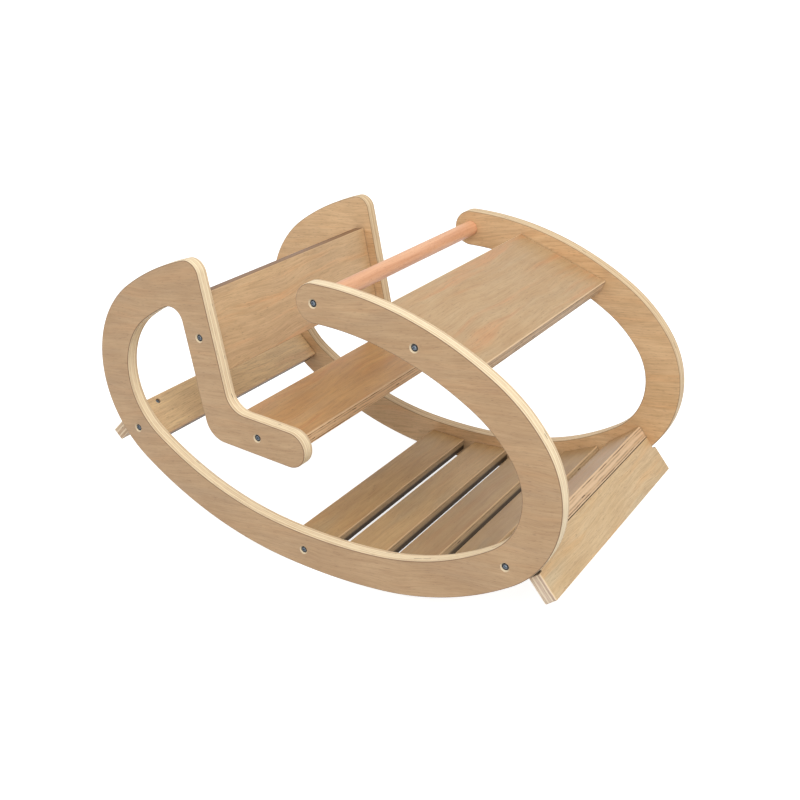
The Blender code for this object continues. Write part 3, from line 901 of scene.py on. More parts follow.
    def _edge(self, graph: Graph, timber: Socket) -> tuple[Socket, Socket]:
        """The colour of a cut edge, with plies, glue lines and gaps, and the painted shade at its foot.

        Args:
            graph: The material's node tree.
            timber: The wood's coordinates.

        Returns:
            The colour, and the painted shade, from 0 at the upper face to the under shade at the lower one.
        """
        along, across, depth = graph.split(timber)
        share = graph.math("ADD", graph.scaled(depth, 1.0 / self.thickness), 0.5)
        layers = self._layers(graph, timber, share)
        ply = graph.math("FLOOR", layers)
        own = graph.chance(graph.math("ADD", ply, 1.7 * len(self.name)))
        slow = graph.noise(graph.joined(along, across, graph.scaled(ply, 0.37)), (7.0, 7.0, 7.0), detail=1.0)
        odd = graph.math("MULTIPLY", graph.math("MODULO", ply, 2.0), graph.ramp(own, 0.0, 1.0, 0.35, 1.0))
        fleck = graph.noise(timber, (110.0, 110.0, 1300.0), detail=2.0, roughness=0.7)
        grain = graph.scaled(graph.math("SUBTRACT", fleck, 0.5), 1.5)
        darkness = graph.math("MULTIPLY", odd, graph.ramp(slow, 0.30, 0.62, 0.45, 1.0))
        colour = graph.mixed(graph.math("ADD", darkness, grain, clamp=True), self.edge_pale, self.edge_deep)

        seam = graph.math("ABSOLUTE", graph.math("SUBTRACT", graph.math("FRACT", layers), 0.5))
        place = graph.joined(along, across, graph.scaled(graph.math("ROUND", layers), 0.61))
        broken = graph.ramp(graph.noise(place, (24.0, 24.0, 9.0), detail=2.0), 0.40, 0.58, 0.25, 1.0)
        outer = graph.math("ABSOLUTE", graph.math("SUBTRACT", share, 0.5))
        strong = graph.math("MULTIPLY", broken, graph.ramp(outer, 0.20, 0.36, 0.40, 1.0))
        line = graph.math("MULTIPLY", graph.ramp(seam, 0.20, 0.42, 0.0, self.glue_share), strong)
        colour = graph.mixed(line, colour, self.glue)
        spots = graph.ramp(graph.noise(place, (42.0, 42.0, 9.0), detail=1.0), 0.69, 0.73)
        gap = graph.math("MULTIPLY", spots, graph.ramp(seam, 0.32, 0.42))
        colour = graph.mixed(graph.scaled(gap, 0.8), colour, self.GAP)
        # Painted shade: the cut edge goes darker towards its lower face.
        return colour, graph.ramp(share, 0.66, 0.36, 0.0, self.under_shade)

    def material(self) -> bpy.types.Material:
        """Makes the material: veneer where the surface faces through the sheet, plies where it is cut.

        The rounding between the two gets the rim colour, which where it is pale is partly a painted
        highlight. Painted shade darkens and dulls the foot of a cut edge, a board's ends at the panels and a
        stop's top edge, and the wall of a drilled hole is pale.

        Returns:
            The material, which reads the mesh's timber, facing and drilled attributes.
        """
        graph = Graph(self.name)
        timber, facing = graph.attribute("timber"), graph.attribute("facing")
        endwise, across, through = graph.split(facing)
        endwise, through = graph.math("ABSOLUTE", endwise), graph.math("ABSOLUTE", through)
        face, height = self._face(graph, timber)
        edge, foot = self._edge(graph, timber)
        cut = graph.ramp(through, 0.86, 0.50)
        colour = graph.mixed(cut, face, edge)
        # A pale rim on the rounding is partly paler sanded wood and partly a painted highlight.
        arris = graph.math("MULTIPLY", graph.ramp(through, 0.30, 0.62), graph.ramp(through, 0.998, 0.93))
        colour = graph.mixed(graph.scaled(arris, self.rim_share), colour, self.rim)
        # Painted shade: the feet of cut edges, board ends at the panels and a stop's top edge go towards
        # SHADE, and their gloss drops so the painted shade shows no reflection.
        dark = graph.math("MULTIPLY", graph.ramp(through, 0.995, 0.94), foot)
        dark = graph.math("MAXIMUM", dark, graph.ramp(endwise, 0.10, 0.45, 0.0, self.end_shade))
        dark = graph.math("MAXIMUM", dark, graph.ramp(across, -0.25, -0.75, 0.0, self.top_shade))
        colour = graph.mixed(dark, colour, self.SHADE)
        dull = graph.math("MAXIMUM", dark, graph.scaled(cut, 0.8))
        gloss = graph.math("SUBTRACT", self.gloss, graph.scaled(dull, self.gloss))
        drilled = graph.attribute("drilled", "Fac")
        colour = graph.mixed(graph.scaled(drilled, 0.6), colour, self.edge_pale)
        uneven = graph.scaled(graph.math("SUBTRACT", graph.noise(timber, (25.0, 70.0, 25.0)), 0.5), 0.16)
        graph.principled(
            Base_Color=colour,
            Roughness=graph.math("ADD", uneven, self.roughness),
            Normal=graph.bumped(height, 0.35, self.relief),
            Specular_IOR_Level=gloss,
            Coat_Weight=graph.scaled(gloss, self.coat_share),
            Coat_Roughness=self.coat_roughness,
        )
        return graph.material


@dataclass(frozen=True)
class Beech:
    """Turned beech under lacquer: an even salmon ground with short darker flecks along the grain."""

    name: str = "beech_lacquered"
    pale: Colour = srgb(241, 187, 146)
    deep: Colour = srgb(218, 159, 119)
    fleck: Colour = srgb(166, 106, 74)
    roughness: float = 0.42
    gloss: float = 0.45
    relief: float = 0.0002

    def material(self) -> bpy.types.Material:
        """Makes the material: a noise along the grain for the ground, a finer one for the flecks.

        Returns:
            The material, which reads the mesh's timber attribute.
        """
        graph = Graph(self.name)
        timber = graph.attribute("timber")
        streaks = graph.noise(timber, (6.0, 170.0, 170.0), detail=3.0, roughness=0.6)
        colour = graph.mixed(graph.ramp(streaks, 0.30, 0.72), self.pale, self.deep)
        flecks = graph.ramp(graph.noise(timber, (150.0, 1400.0, 1400.0), detail=1.0), 0.60, 0.72)
        colour = graph.mixed(graph.scaled(flecks, 0.35), colour, self.fleck)
        uneven = graph.scaled(graph.math("SUBTRACT", streaks, 0.5), 0.15)
        rough = graph.math("ADD", self.roughness, uneven)
        normal = graph.bumped(graph.math("SUBTRACT", streaks, flecks), 0.25, self.relief)
        graph.principled(Base_Color=colour, Roughness=rough, Normal=normal, Specular_IOR_Level=self.gloss)
        return graph.material


@dataclass(frozen=True)
class PinWood:
    """The plain dry wood of a fluted dowel pin."""

    name: str = "pin_birch"
    pale: Colour = srgb(222, 190, 146)
    deep: Colour = srgb(188, 150, 106)
    roughness: float = 0.62
    relief: float = 0.0002

    def material(self) -> bpy.types.Material:
        """Makes the material: one noise along the grain gives its colour, roughness and relief.

        Returns:
            The material, which reads the mesh's timber attribute.
        """
        graph = Graph(self.name)
        timber = graph.attribute("timber")
        streaks = graph.noise(timber, (40.0, 700.0, 700.0), detail=3.0, roughness=0.6)
        colour = graph.mixed(graph.ramp(streaks, 0.30, 0.72), self.pale, self.deep)
        rough = graph.math("ADD", self.roughness, graph.scaled(streaks, 0.2))
        normal = graph.bumped(streaks, 0.3, self.relief)
        graph.principled(Base_Color=colour, Roughness=rough, Normal=normal)
        return graph.material


@dataclass(frozen=True)
class ScrewSteel:
    """Black-oxidised screw steel: dark on the head, with turning marks, and bright in the worn socket."""

    name: str = "screw_steel"
    oxide: Colour = (0.030, 0.032, 0.036)
    worn: Colour = (0.42, 0.47, 0.52)
    socket_radius: float = 0.0024
    roughness: float = 0.24
    relief: float = 0.00005

    def material(self) -> bpy.types.Material:
        """Makes the material. Nearness to the axis bares the steel, and spots of wear do it elsewhere.

        Returns:
            The material, which reads the mesh's timber attribute.
        """
        graph = Graph(self.name)
        timber = graph.attribute("timber")
        depth, one, other = graph.split(timber)
        squares = graph.math("ADD", graph.math("MULTIPLY", one, one), graph.math("MULTIPLY", other, other))
        out = graph.math("SQRT", squares)
        marks = graph.noise(graph.joined(out, depth, 0.0), (5200.0, 1300.0, 1.0), detail=2.0)
        wear = graph.ramp(graph.noise(timber, (600.0, 600.0, 600.0), detail=3.0), 0.52, 0.78, 0.0, 0.5)
        socket = graph.ramp(out, self.socket_radius * 1.15, self.socket_radius * 0.80, 0.0, 0.85)
        colour = graph.mixed(graph.math("MAXIMUM", socket, wear), self.oxide, self.worn)
        rough = graph.math("ADD", graph.scaled(marks, 0.22), self.roughness)
        normal = graph.bumped(marks, 0.2, self.relief)
        graph.principled(Base_Color=colour, Metallic=1.0, Roughness=rough, Normal=normal)
        return graph.material


class Materials:
    """The finishes of this rocker, each made once and kept by name."""

    def __init__(self) -> None:
        """Starts with none made."""
        self._made: dict[str, bpy.types.Material] = {}

    def of(self, finish: Union[Plywood, Beech, PinWood, ScrewSteel]) -> bpy.types.Material:
        """The material of a finish.

        Args:
            finish: The finish.

        Returns:
            Its material, made when it is first asked for.
        """
        if finish.name not in self._made:
            self._made[finish.name] = finish.material()
        return self._made[finish.name]


def dress(piece: bpy.types.Object, node: str, material: bpy.types.Material) -> None:
    """Gives a piece its material, and puts it in its CAD node's place.

    Args:
        piece: The finished piece.
        node: The CAD node that it stands for.
        material: Its material.
    """
    piece.data.materials.append(material)
    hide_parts(node)
    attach(piece, "root")
    log.info("%s: %d points, %d faces", piece.name, len(piece.data.vertices), len(piece.data.polygons))


# The side outline


@dataclass
class SideShape:
    """The side outline of the rocker: a band of arcs, and the L-shaped seat arm inside it."""

    band_width: float = 0.050
    sole_radius: float = 0.739
    front_arcs: tuple[tuple[float, float], ...] = (
        (0.739, 7.0), (0.395, 28.7), (0.138, 89.6), (0.224, 22.4), (0.445, 32.8)
    )
    rear_arcs: tuple[tuple[float, float], ...] = ((0.739, 5.4), (0.486, 29.5), (0.1545, 109.3))
    crown_radius: float = 0.354
    arm_width: float = 0.0466
    seat_limb_width: float = 0.050
    back_rake: float = 11.7
    seat_slope: float = 3.3
    backrest_centre: tuple[float, float] = (-0.1831, 0.2910)
    seat_screw: tuple[float, float] = (-0.0967, 0.1709)
    seat_limb_end_x: float = -0.0460
    top_corner: float = 0.020
    hole_corner: float = 0.020
    limb_outer_corner: float = 0.032
    limb_inner_corner: float = 0.030
    lean: float = 1.060
    shift: Array = field(default_factory=lambda: np.zeros(2))

    def __post_init__(self) -> None:
        """Works out the arm's directions."""
        self.back_up, self.back_front = heading(90 + self.back_rake), heading(self.back_rake)
        self.seat_ahead = heading(-self.seat_slope)
        self.backrest = np.array(self.backrest_centre)
        self.seat = np.array(self.seat_screw)

    def edge(self, front: bool, inset: float) -> Trace:
        """A pen that has followed one chain of arcs, at an inset from the outer edge.

        Args:
            front: Whether the front chain is meant, or the rear one.
            inset: How far in from the outer edge.

        Returns:
            The pen, at the end of the chain.
        """
        side = 1 if front else -1
        pen = Trace(np.array([0.0, inset]), 0.0 if front else 180.0)
        for radius, turn in self.front_arcs if front else self.rear_arcs:
            pen.arc(radius - inset, side * turn)
        return pen

    def front_length(self) -> float:
        """The length of the front chain along the outer edge."""
        return sum(radius * math.radians(turn) for radius, turn in self.front_arcs)

    def place(self, station: float, inset: float) -> Place:
        """The place at a distance along the outer edge from the floor point, inset into the band.

        Args:
            station: The distance, positive to the front.
            inset: How far in from the outer edge.

        Returns:
            The place, its direction running along the band to the front.
        """
        side = 1 if station >= 0 else -1
        pen = Trace(np.zeros(2), 0.0 if side > 0 else 180.0)
        left = abs(station)
        for radius, turn in self.front_arcs if side > 0 else self.rear_arcs:
            length = radius * math.radians(turn)
            part = min(left / length, 1.0)
            pen.arc(radius, side * turn * part)
            left -= length * part
            if part < 1.0:
                break
        along = heading(pen.facing) * side
        return Place(pen.points[-1] + left_of(along) * inset, along)

    def _crown(self, inset: float, limb_offset: float, fillet: float) -> tuple[Array, Array, Array]:
        """The rear edge up to the arm, and the fillet that takes it into an edge of the arm.

        The fillet touches both the crown's arc from inside and the arm's edge: its centre is where a
        line beside the arm crosses the circle of radius crown - fillet.

        Args:
            inset: How far in from the outer edge.
            limb_offset: The arm's edge, from its centre line.
            fillet: The fillet's radius.

        Returns:
            The chain's points, the fillet's centre and where it touches the crown.
        """
        pen = self.edge(False, inset)
        radius = self.crown_radius - inset
        centre = pen.centre(radius, -1.0)
        guide = self.backrest + self.back_front * (limb_offset - fillet)
        offset = guide - centre
        half = float(offset @ self.back_up)
        rest = float(offset @ offset) - (radius - fillet) ** 2
        middle = guide + self.back_up * (-half + math.sqrt(half * half - rest))
        touch = centre + (middle - centre) / np.linalg.norm(middle - centre) * radius
        points = np.vstack([pen.points, arc_between(centre, pen.points[-1], touch, False)[1:]])
        return points, middle, touch

    def outline(self) -> Array:
        """The panel's outline in the drawing, one closed line with the wood on its left.

        It runs down the rear edge and along the sole to the front tip, back along the inside of the
        band and up to the crown, down the back of the arm, round the seat limb and up the arm's front.

        Returns:
            Rows of (x, z).
        """
        half_arm, half_seat = self.arm_width / 2, self.seat_limb_width / 2
        seat_up = left_of(self.seat_ahead)
        outer_rear, top_centre, top_touch = self._crown(0.0, half_arm, self.top_corner)
        inner_rear, hole_centre, hole_touch = self._crown(self.band_width, -half_arm, self.hole_corner)
        front = self.edge(True, 0.0).arc(self.band_width / 2, 180.0).points
        inner_front = self.edge(True, self.band_width).points
        rear_edge = self.backrest - self.back_front * half_arm
        front_edge = self.backrest + self.back_front * half_arm
        low, high = self.seat - seat_up * half_seat, self.seat + seat_up * half_seat
        reach = (self.seat_limb_end_x - self.seat[0]) / self.seat_ahead[0]
        end = self.seat + self.seat_ahead * reach
        low_corner = crossing(rear_edge, self.back_up, low, self.seat_ahead)
        high_corner = crossing(front_edge, self.back_up, high, self.seat_ahead)
        hole_side = hole_centre + self.back_front * self.hole_corner
        top_side = top_centre + self.back_front * self.top_corner
        return np.vstack([
            outer_rear[::-1],
            front[1:],
            inner_front[::-1][1:],
            inner_rear[1:],
            arc_between(hole_centre, hole_touch, hole_side, False)[1:],
            rounded_corner(low_corner, -self.back_up, self.seat_ahead, self.limb_outer_corner),
            arc_between(end, end - seat_up * half_seat, end + seat_up * half_seat, True),
            rounded_corner(high_corner, -self.seat_ahead, self.back_up, self.limb_inner_corner),
            arc_between(top_centre, top_side, top_touch, True)[:-1],
        ])

    def handle_centre(self) -> Array:
        """The centre of the front chain's round tip, in the drawing."""
        return self.edge(True, 0.0).centre(self.band_width / 2, 1.0)

    def stood(self, points: Array) -> Array:
        """Drawn points as they stand on the floor: turned about the sole's centre, then shifted."""
        pivot = np.array([0.0, self.sole_radius])
        return turned(points - pivot, math.radians(self.lean)) + pivot + self.shift

    def stood_place(self, place: Place) -> Place:
        """A drawn place as it stands on the floor."""
        return Place(self.stood(place.centre), turned(place.along, math.radians(self.lean)))

    def to_outer_edge(self, start: Array, direction: Array, front: bool) -> float:
        """How far along a direction from a stood point the panel's outer edge is crossed.

        The edge is a line of points. Each one's distance to the side of the direction changes sign
        where the edge crosses it, and the distance ahead is read off between those two points.

        Args:
            start: The point, as it stands.
            direction: A unit direction.
            front: Whether the front chain of arcs is meant, or the rear one.

        Returns:
            The distance.
        """
        rows = self.stood(self.edge(front, 0.0).points) - start
        beside, ahead = rows @ left_of(direction), rows @ direction
        index = int(np.flatnonzero((beside[:-1] * beside[1:] <= 0) & (ahead[1:] > 0))[0])
        share = beside[index] / (beside[index] - beside[index + 1])
        return float(ahead[index] + (ahead[index + 1] - ahead[index]) * share)

    def settle(self, low: Sequence[float]) -> None:
        """Shifts the drawing so that the panel's box starts at the CAD panel's lowest corner."""
        lowest = self.stood(self.outline()).min(axis=0)
        self.shift = self.shift + np.array([low[0], low[2]]) - lowest


# Fixings

HOLE_SPARE = 0.0007


@dataclass(frozen=True)
class ScrewSize:
    """The sizes of a countersunk screw with a hexagon socket."""

    length: float
    head: float
    socket: float
    neck: float
    thread: float
    core: float
    sunk: float
    countersink: float
    pitch: float
    head_depth: float = 0.0030
    socket_depth: float = 0.0025
    tip_length: float = 0.004
    tip: float = 0.0016
    play: float = 0.0003
    seat_sides: int = 48

    def seat(self, axis: Axis, thickness: float) -> Bore:
        """The flare, seat and clear hole that the screw needs in the piece under its head.

        Args:
            axis: The screw's axis, from the face of that piece.
            thickness: How thick the piece is there.

        Returns:
            The hole.
        """
        neck = self.neck / 2 + self.play
        radii = (self.countersink / 2, self.head / 2 + self.play, neck, neck)
        depths = (0.0, self.sunk, self.sunk + self.head_depth, thickness)
        return Bore(axis, radii, depths, blind=False, sides=self.seat_sides)

    def pilot(self, axis: Axis, under_head: float) -> Bore:
        """The blind hole for the thread in the piece behind one that is as thick as under_head."""
        radius, depth = self.thread / 2 + self.play, self.length + self.sunk - under_head + HOLE_SPARE
        return Bore(axis, (radius, radius), (0.0, depth))


PANEL_SCREW = ScrewSize(0.050, 0.0090, 0.0040, 0.0065, 0.0062, 0.0046, 0.0013, 0.0122, 0.0030)
STOP_SCREW = ScrewSize(0.040, 0.0066, 0.0030, 0.0046, 0.0044, 0.0032, 0.0020, 0.0074, 0.0022)


@dataclass
class Screw:
    """One screw, standing on its axis from the face of its head to its tip."""

    node: str
    size: ScrewSize
    axis: Axis
    neck_end: float
    turn: float
    sides: int = 48
    rim_round: float = 0.0003
    shoulder: float = 0.0008
    finish: ScrewSteel = ScrewSteel()

    HEXAGON = 6

    def _round(self, skin: Skin, *levels: tuple[float, float]) -> None:
        """A cone or cylinder between each radius and depth and the next.

        Args:
            skin: The surface.
            *levels: Each radius with its depth.
        """
        for (radius, depth), (next_radius, next_depth) in zip(levels[:-1], levels[1:]):
            radii = np.repeat([[radius], [next_radius]], self.sides, axis=1)
            skin.revolved(self.axis, radii, np.array([depth, next_depth]))

    def _socket(self, skin: Skin) -> None:
        """The flat of the head round the hexagon, the hexagon's six walls and its floor.

        A corner of the hexagon stands at half the distance across flats, divided by cos 30 degrees.

        Args:
            skin: The surface.
        """
        reach = self.size.socket / 2 / math.cos(math.radians(30))
        mouth = self.axis.origin + self.axis.spokes(self.HEXAGON, self.turn) * reach
        floor = mouth + self.axis.inward * self.size.socket_depth
        rim = self.axis.ring(self.size.head / 2 - self.rim_round, 0.0, self.sides)
        skin.flat([rim, mouth], -self.axis.inward)
        for index in range(self.HEXAGON):
            pair = [index, (index + 1) % self.HEXAGON]
            look = self.axis.origin - mouth[pair].mean(axis=0)
            skin.flat([np.vstack([mouth[pair], floor[pair[::-1]]])], look / np.linalg.norm(look))
        skin.flat([floor], -self.axis.inward)

    def _thread(self, skin: Skin, start: float, end: float) -> None:
        """The thread: at angle a and depth d the phase is d / pitch - a / 360 degrees, without its whole
        turns, and the radius climbs from core to crest as the phase nears one half, a quarter away.

        Args:
            skin: The surface.
            start: Depth where it starts.
            end: Depth where it ends.
        """
        rows = int(math.ceil((end - start) / self.size.pitch * 10))
        depths = np.linspace(start, end, rows + 1)
        angles = np.arange(self.sides) / self.sides
        phase = np.mod(depths[:, None] / self.size.pitch - angles[None, :], 1.0)
        ridge = np.clip(1.0 - np.abs(phase - 0.5) / 0.25, 0.0, 1.0)
        run_out = np.minimum(1.0, np.minimum(depths - start, end - depths)[:, None] / self.size.pitch)
        core, crest = self.size.core / 2, self.size.thread / 2
        skin.revolved(self.axis, core + (crest - core) * ridge * run_out, depths)

    def build(self, materials: Materials) -> None:
        """Makes the screw: its head and socket, its neck, its thread and its tip.

        Args:
            materials: The finishes made so far.
        """
        size, skin = self.size, Skin()
        head, neck, core = size.head / 2, size.neck / 2, size.core / 2
        thread_end = size.length - size.tip_length
        self._socket(skin)
        self._round(
            skin,
            (head - self.rim_round, 0.0),
            (head, self.rim_round),
            (neck, size.head_depth),
            (neck, self.neck_end - self.shoulder),
            (core, self.neck_end),
        )
        self._thread(skin, self.neck_end, thread_end)
        self._round(skin, (core, thread_end), (size.tip / 2, size.length))
        skin.flat([self.axis.ring(size.tip / 2, size.length, self.sides)], self.axis.inward)
        piece = skin.made(self.node + "_piece", self.axis.timber)
        dress(piece, self.node, materials.of(self.finish))


@dataclass
class DowelPin:
    """A fluted wooden pin, glued across the joint between a panel and the end of a board."""

    node: str
    axis: Axis
    diameter: float = 0.008
    length: float = 0.030
    chamfer: float = 0.001
    flutes: int = 16
    flute_depth: float = 0.0003
    sides: int = 64
    finish: PinWood = PinWood()

    def build(self, materials: Materials) -> None:
        """Makes the pin: its radius is the pin's, less a groove wherever cos(flutes * a) is above 0.

        Args:
            materials: The finishes made so far.
        """
        skin = Skin()
        angles = 2 * np.pi * np.arange(self.sides) / self.sides
        groove = self.flute_depth * np.clip(np.cos(self.flutes * angles), 0.0, 1.0)
        body = self.diameter / 2 - groove
        tip = np.full(self.sides, self.diameter / 2 - self.chamfer)
        depths = (0.0, self.chamfer, self.length - self.chamfer, self.length)
        radii = (tip, body, body, tip)
        for level in range(3):
            rows = slice(level, level + 2)
            skin.revolved(self.axis, np.stack(radii[rows]), np.array(depths[rows]))
        for depth, sign in ((0.0, -1.0), (self.length, 1.0)):
            skin.flat([self.axis.ring(tip[0], depth, self.sides)], self.axis.inward * sign)
        piece = skin.made(self.node + "_piece", self.axis.timber)
        dress(piece, self.node, materials.of(self.finish))


# Wooden pieces

OUTER_Y = 0.200
INNER_Y = 0.182
JOINT = 0.0003
PIN_IN_PANEL = 0.011
PIN_BORE = 0.0043
HANDLE_SEAT = 0.006
CORNER_POINTS = Trace.FEWEST_STEPS + 1
ROUND_STEPS = 5
EASE_STEPS = 2


@dataclass
class SidePanel:
    """One of the two side panels, with the holes of its fixings."""

    side: Side
    shape: SideShape
    finish: Plywood
    screws: list[Array]
    pins: list[Array]
    handle: Array
    edge_round: float = 0.0015
    handle_bore: float = 0.0108
    handle_bore_sides: int = 64
    pin_spare: float = 0.001
    grain_rise: float = 10.0
    inside: float = 0.00015

    FIGURE = {Side.RIGHT: (0.31, 0.13), Side.LEFT: (1.87, 0.13)}

    def build(self, materials: Materials) -> None:
        """Makes the panel: its outline carried through the thickness, edges rounded, holes cut.

        Args:
            materials: The finishes made so far.
        """
        skin, sign = Skin(), float(self.side.value)
        outer, inner = sign * OUTER_Y, sign * INNER_Y
        through = [PANEL_SCREW.seat(along_y(p, outer, -sign), OUTER_Y - INNER_Y) for p in self.screws]
        short = PANEL_SCREW.seat(along_y(self.handle, outer, -sign), OUTER_Y - INNER_Y - HANDLE_SEAT)
        blind = [
            Bore(along_y(p, inner, sign), (PIN_BORE, PIN_BORE), (0.0, PIN_IN_PANEL + self.pin_spare))
            for p in self.pins
        ]
        radii, sides = (self.handle_bore, self.handle_bore), self.handle_bore_sides
        seat = Bore(along_y(self.handle, inner, sign), radii, (0.0, HANDLE_SEAT), False, sides)
        outer_mouths = [bore.rim(0) for bore in (*through, short)]
        inner_mouths = [bore.rim(-1) for bore in through] + [bore.rim(0) for bore in (*blind, seat)]
        for bore in (*through, short, *blind, seat):
            skin.bored(bore)
        skin.flat([seat.rim(-1), short.rim(-1)], np.array([0.0, -sign, 0.0]))
        mouths = (outer_mouths, inner_mouths) if sign < 0 else (inner_mouths, outer_mouths)
        outline = self.shape.stood(self.shape.outline())
        outline = outline - outward_normals(outline) * self.inside
        skin.carried(outline, tuple(sorted((outer, inner))), self.edge_round, ROUND_STEPS, mouths)
        axes = TimberAxes(
            in_space(np.zeros(2), (outer + inner) / 2),
            in_space(heading(self.grain_rise), 0.0),
            in_space(left_of(heading(self.grain_rise)), 0.0),
            np.array([0.0, 1.0, 0.0]),
            shift=self.FIGURE[self.side],
        )
        node = f"{self.side.label}_side_panel"
        dress(skin.made(node + "_piece", axes), node, materials.of(self.finish))


@dataclass
class Board:
    """A board that spans the two panels, held at each end by a screw and a pin or by two pins."""

    node: str
    place: Place
    width: float
    finish: Plywood
    figure: tuple[float, float]
    screw: Optional[Array] = None
    pins: tuple[float, ...] = ()
    thickness: float = 0.018
    edge_round: float = 0.0015
    end_ease: float = 0.0010
    seats: list[Bore] = field(default_factory=list)

    def section(self) -> Array:
        """The board's rectangle with four rounded corners, from the front lower corner round.

        Returns:
            Rows of (x, z), CORNER_POINTS for each corner.
        """
        ahead, reach, side = self.place.along, self.width / 2, self.thickness / 2
        points = []
        for _ in range(4):
            corner = self.place.centre + ahead * reach - left_of(ahead) * side
            points.append(rounded_corner(corner, ahead, left_of(ahead), self.edge_round))
            ahead, reach, side = left_of(ahead), side, reach
        return np.vstack(points)

    def _end_bores(self, sign: float) -> list[Bore]:
        """The holes in one end: the screw's pilot, and the pins' blind holes.

        Args:
            sign: Which end, as the sign of its Y.

        Returns:
            The holes.
        """
        end = sign * (INNER_Y - JOINT)
        bores = []
        if self.screw is not None:
            bores.append(PANEL_SCREW.pilot(along_y(self.screw, end, -sign), OUTER_Y - INNER_Y))
        depth = DowelPin.length - PIN_IN_PANEL + HOLE_SPARE
        for offset in self.pins:
            centre = self.place.point(offset)
            bores.append(Bore(along_y(centre, end, -sign), (PIN_BORE, PIN_BORE), (0.0, depth)))
        return bores

    def build(self, materials: Materials) -> None:
        """Makes the board: its section carried along Y, with holes in its ends and faces.

        The seats of a stop's screws go from the upper face through the lower one. A wall starts at the
        last point of a rounded corner.

        Args:
            materials: The finishes made so far.
        """
        skin = Skin()
        ends = [self._end_bores(sign) for sign in (-1.0, 1.0)]
        walls: dict[int, list[Array]] = {}
        if self.seats:
            walls[2 * CORNER_POINTS - 1] = [bore.rim(0) for bore in self.seats]
            walls[4 * CORNER_POINTS - 1] = [bore.rim(-1) for bore in self.seats]
        for bore in (*ends[0], *ends[1], *self.seats):
            skin.bored(bore)
        mouths = ([bore.rim(0) for bore in ends[0]], [bore.rim(0) for bore in ends[1]])
        half = INNER_Y - JOINT
        skin.carried(self.section(), (-half, half), self.end_ease, EASE_STEPS, mouths, walls)
        axes = TimberAxes(
            in_space(self.place.centre, 0.0),
            np.array([0.0, 1.0, 0.0]),
            in_space(self.place.along, 0.0),
            in_space(self.place.upward, 0.0),
            shift=self.figure,
        )
        dress(skin.made(self.node + "_piece", axes), self.node, materials.of(self.finish))


@dataclass
class StopBoard:
    """A stop that stands on edge under a slat, its notched ends running out under the panels."""

    node: str
    place: Place
    width: float
    shoulder: float
    notch: float
    screw_y: float
    finish: Plywood
    figure: tuple[float, float]
    corner: float = 0.0022

    def face(self) -> Array:
        """The broad face as a closed line: x runs from the upper edge down, z along the board.

        Below the notch it is longer at both ends by the shoulder.

        Returns:
            Rows of (x, z), CORNER_POINTS for each of its eight corners.
        """
        near = INNER_Y - JOINT
        far = near + self.shoulder
        top, low = -self.width / 2, self.width / 2
        step = top + self.notch
        half = np.array([[low, far], [step, far], [step, near], [top, near]])
        corners = np.roll(np.vstack([half, half[::-1] * (1, -1)]), 1, axis=0)
        leaving = np.roll(corners, -1, axis=0) - corners
        leaving /= np.linalg.norm(leaving, axis=1, keepdims=True)
        arriving = np.roll(leaving, 1, axis=0)
        rows = zip(corners, arriving, leaving)
        return np.vstack([rounded_corner(*row, self.corner) for row in rows])

    def build(self, materials: Materials) -> None:
        """Makes the stop: its face carried through its thickness, with two pilots in its upper edge.

        It is drawn in axes of its own, x down, y through the thickness and z along the board, and then
        laid in place. The upper edge starts at the last point of the face's fifth corner.

        Args:
            materials: The finishes made so far.
        """
        skin, half = Skin(), Board.thickness / 2
        down, along = np.array([1.0, 0.0, 0.0]), np.array([0.0, 0.0, 1.0])
        tops = [np.array([-self.width / 2, 0.0, sign * self.screw_y]) for sign in (-1.0, 1.0)]
        pilots = [STOP_SCREW.pilot(Axis(top, down, along), Board.thickness) for top in tops]
        for bore in pilots:
            skin.bored(bore)
        walls = {5 * CORNER_POINTS - 1: [bore.rim(0) for bore in pilots]}
        skin.carried(self.face(), (-half, half), Board.edge_round, ROUND_STEPS, wall_mouths=walls)
        own = np.stack([
            in_space(self.place.along, 0.0), in_space(self.place.upward, 0.0), np.array([0.0, -1.0, 0.0])
        ])
        skin.laid(in_space(self.place.centre, 0.0), own)
        axes = TimberAxes(in_space(self.place.centre, 0.0), -own[2], own[0], own[1], self.figure)
        dress(skin.made(self.node + "_piece", axes), self.node, materials.of(self.finish))


@dataclass
class HandleDowel:
    """The round handle between the tips of the panels, a screw up the middle of each end."""

    centre: Array
    radius: float = 0.0105
    ease: float = 0.0004
    sides: int = 96
    finish: Beech = Beech()

    def build(self, materials: Materials) -> None:
        """Makes the dowel: one radius along Y, a small chamfer and a blind hole at each end.

        Args:
            materials: The finishes made so far.
        """
        skin, half = Skin(), INNER_Y + HANDLE_SEAT - JOINT
        axis = along_y(self.centre, -half, 1.0)
        small = self.radius - self.ease
        levels = (
            (small, 0.0),
            (self.radius, self.ease),
            (self.radius, 2 * half - self.ease),
            (small, 2 * half),
        )
        for (radius, depth), (next_radius, next_depth) in zip(levels[:-1], levels[1:]):
            radii = np.repeat([[radius], [next_radius]], self.sides, axis=1)
            skin.revolved(axis, radii, np.array([depth, next_depth]))
        for sign in (-1.0, 1.0):
            end = along_y(self.centre, sign * half, -sign)
            pilot = PANEL_SCREW.pilot(end, OUTER_Y - INNER_Y - HANDLE_SEAT)
            rim = axis.ring(small, 0.0 if sign < 0 else 2 * half, self.sides)
            skin.flat([rim, pilot.rim(0)], np.array([0.0, sign, 0.0]))
            skin.bored(pilot)
        origin = in_space(self.centre, 0.0)
        axes = TimberAxes(
            origin, np.array([0.0, 1.0, 0.0]), np.array([1.0, 0.0, 0.0]), np.array([0.0, 0.0, 1.0])
        )
        piece = skin.made("handle_dowel_piece", axes)
        dress(piece, "handle_dowel", materials.of(self.finish))


# The whole rocker


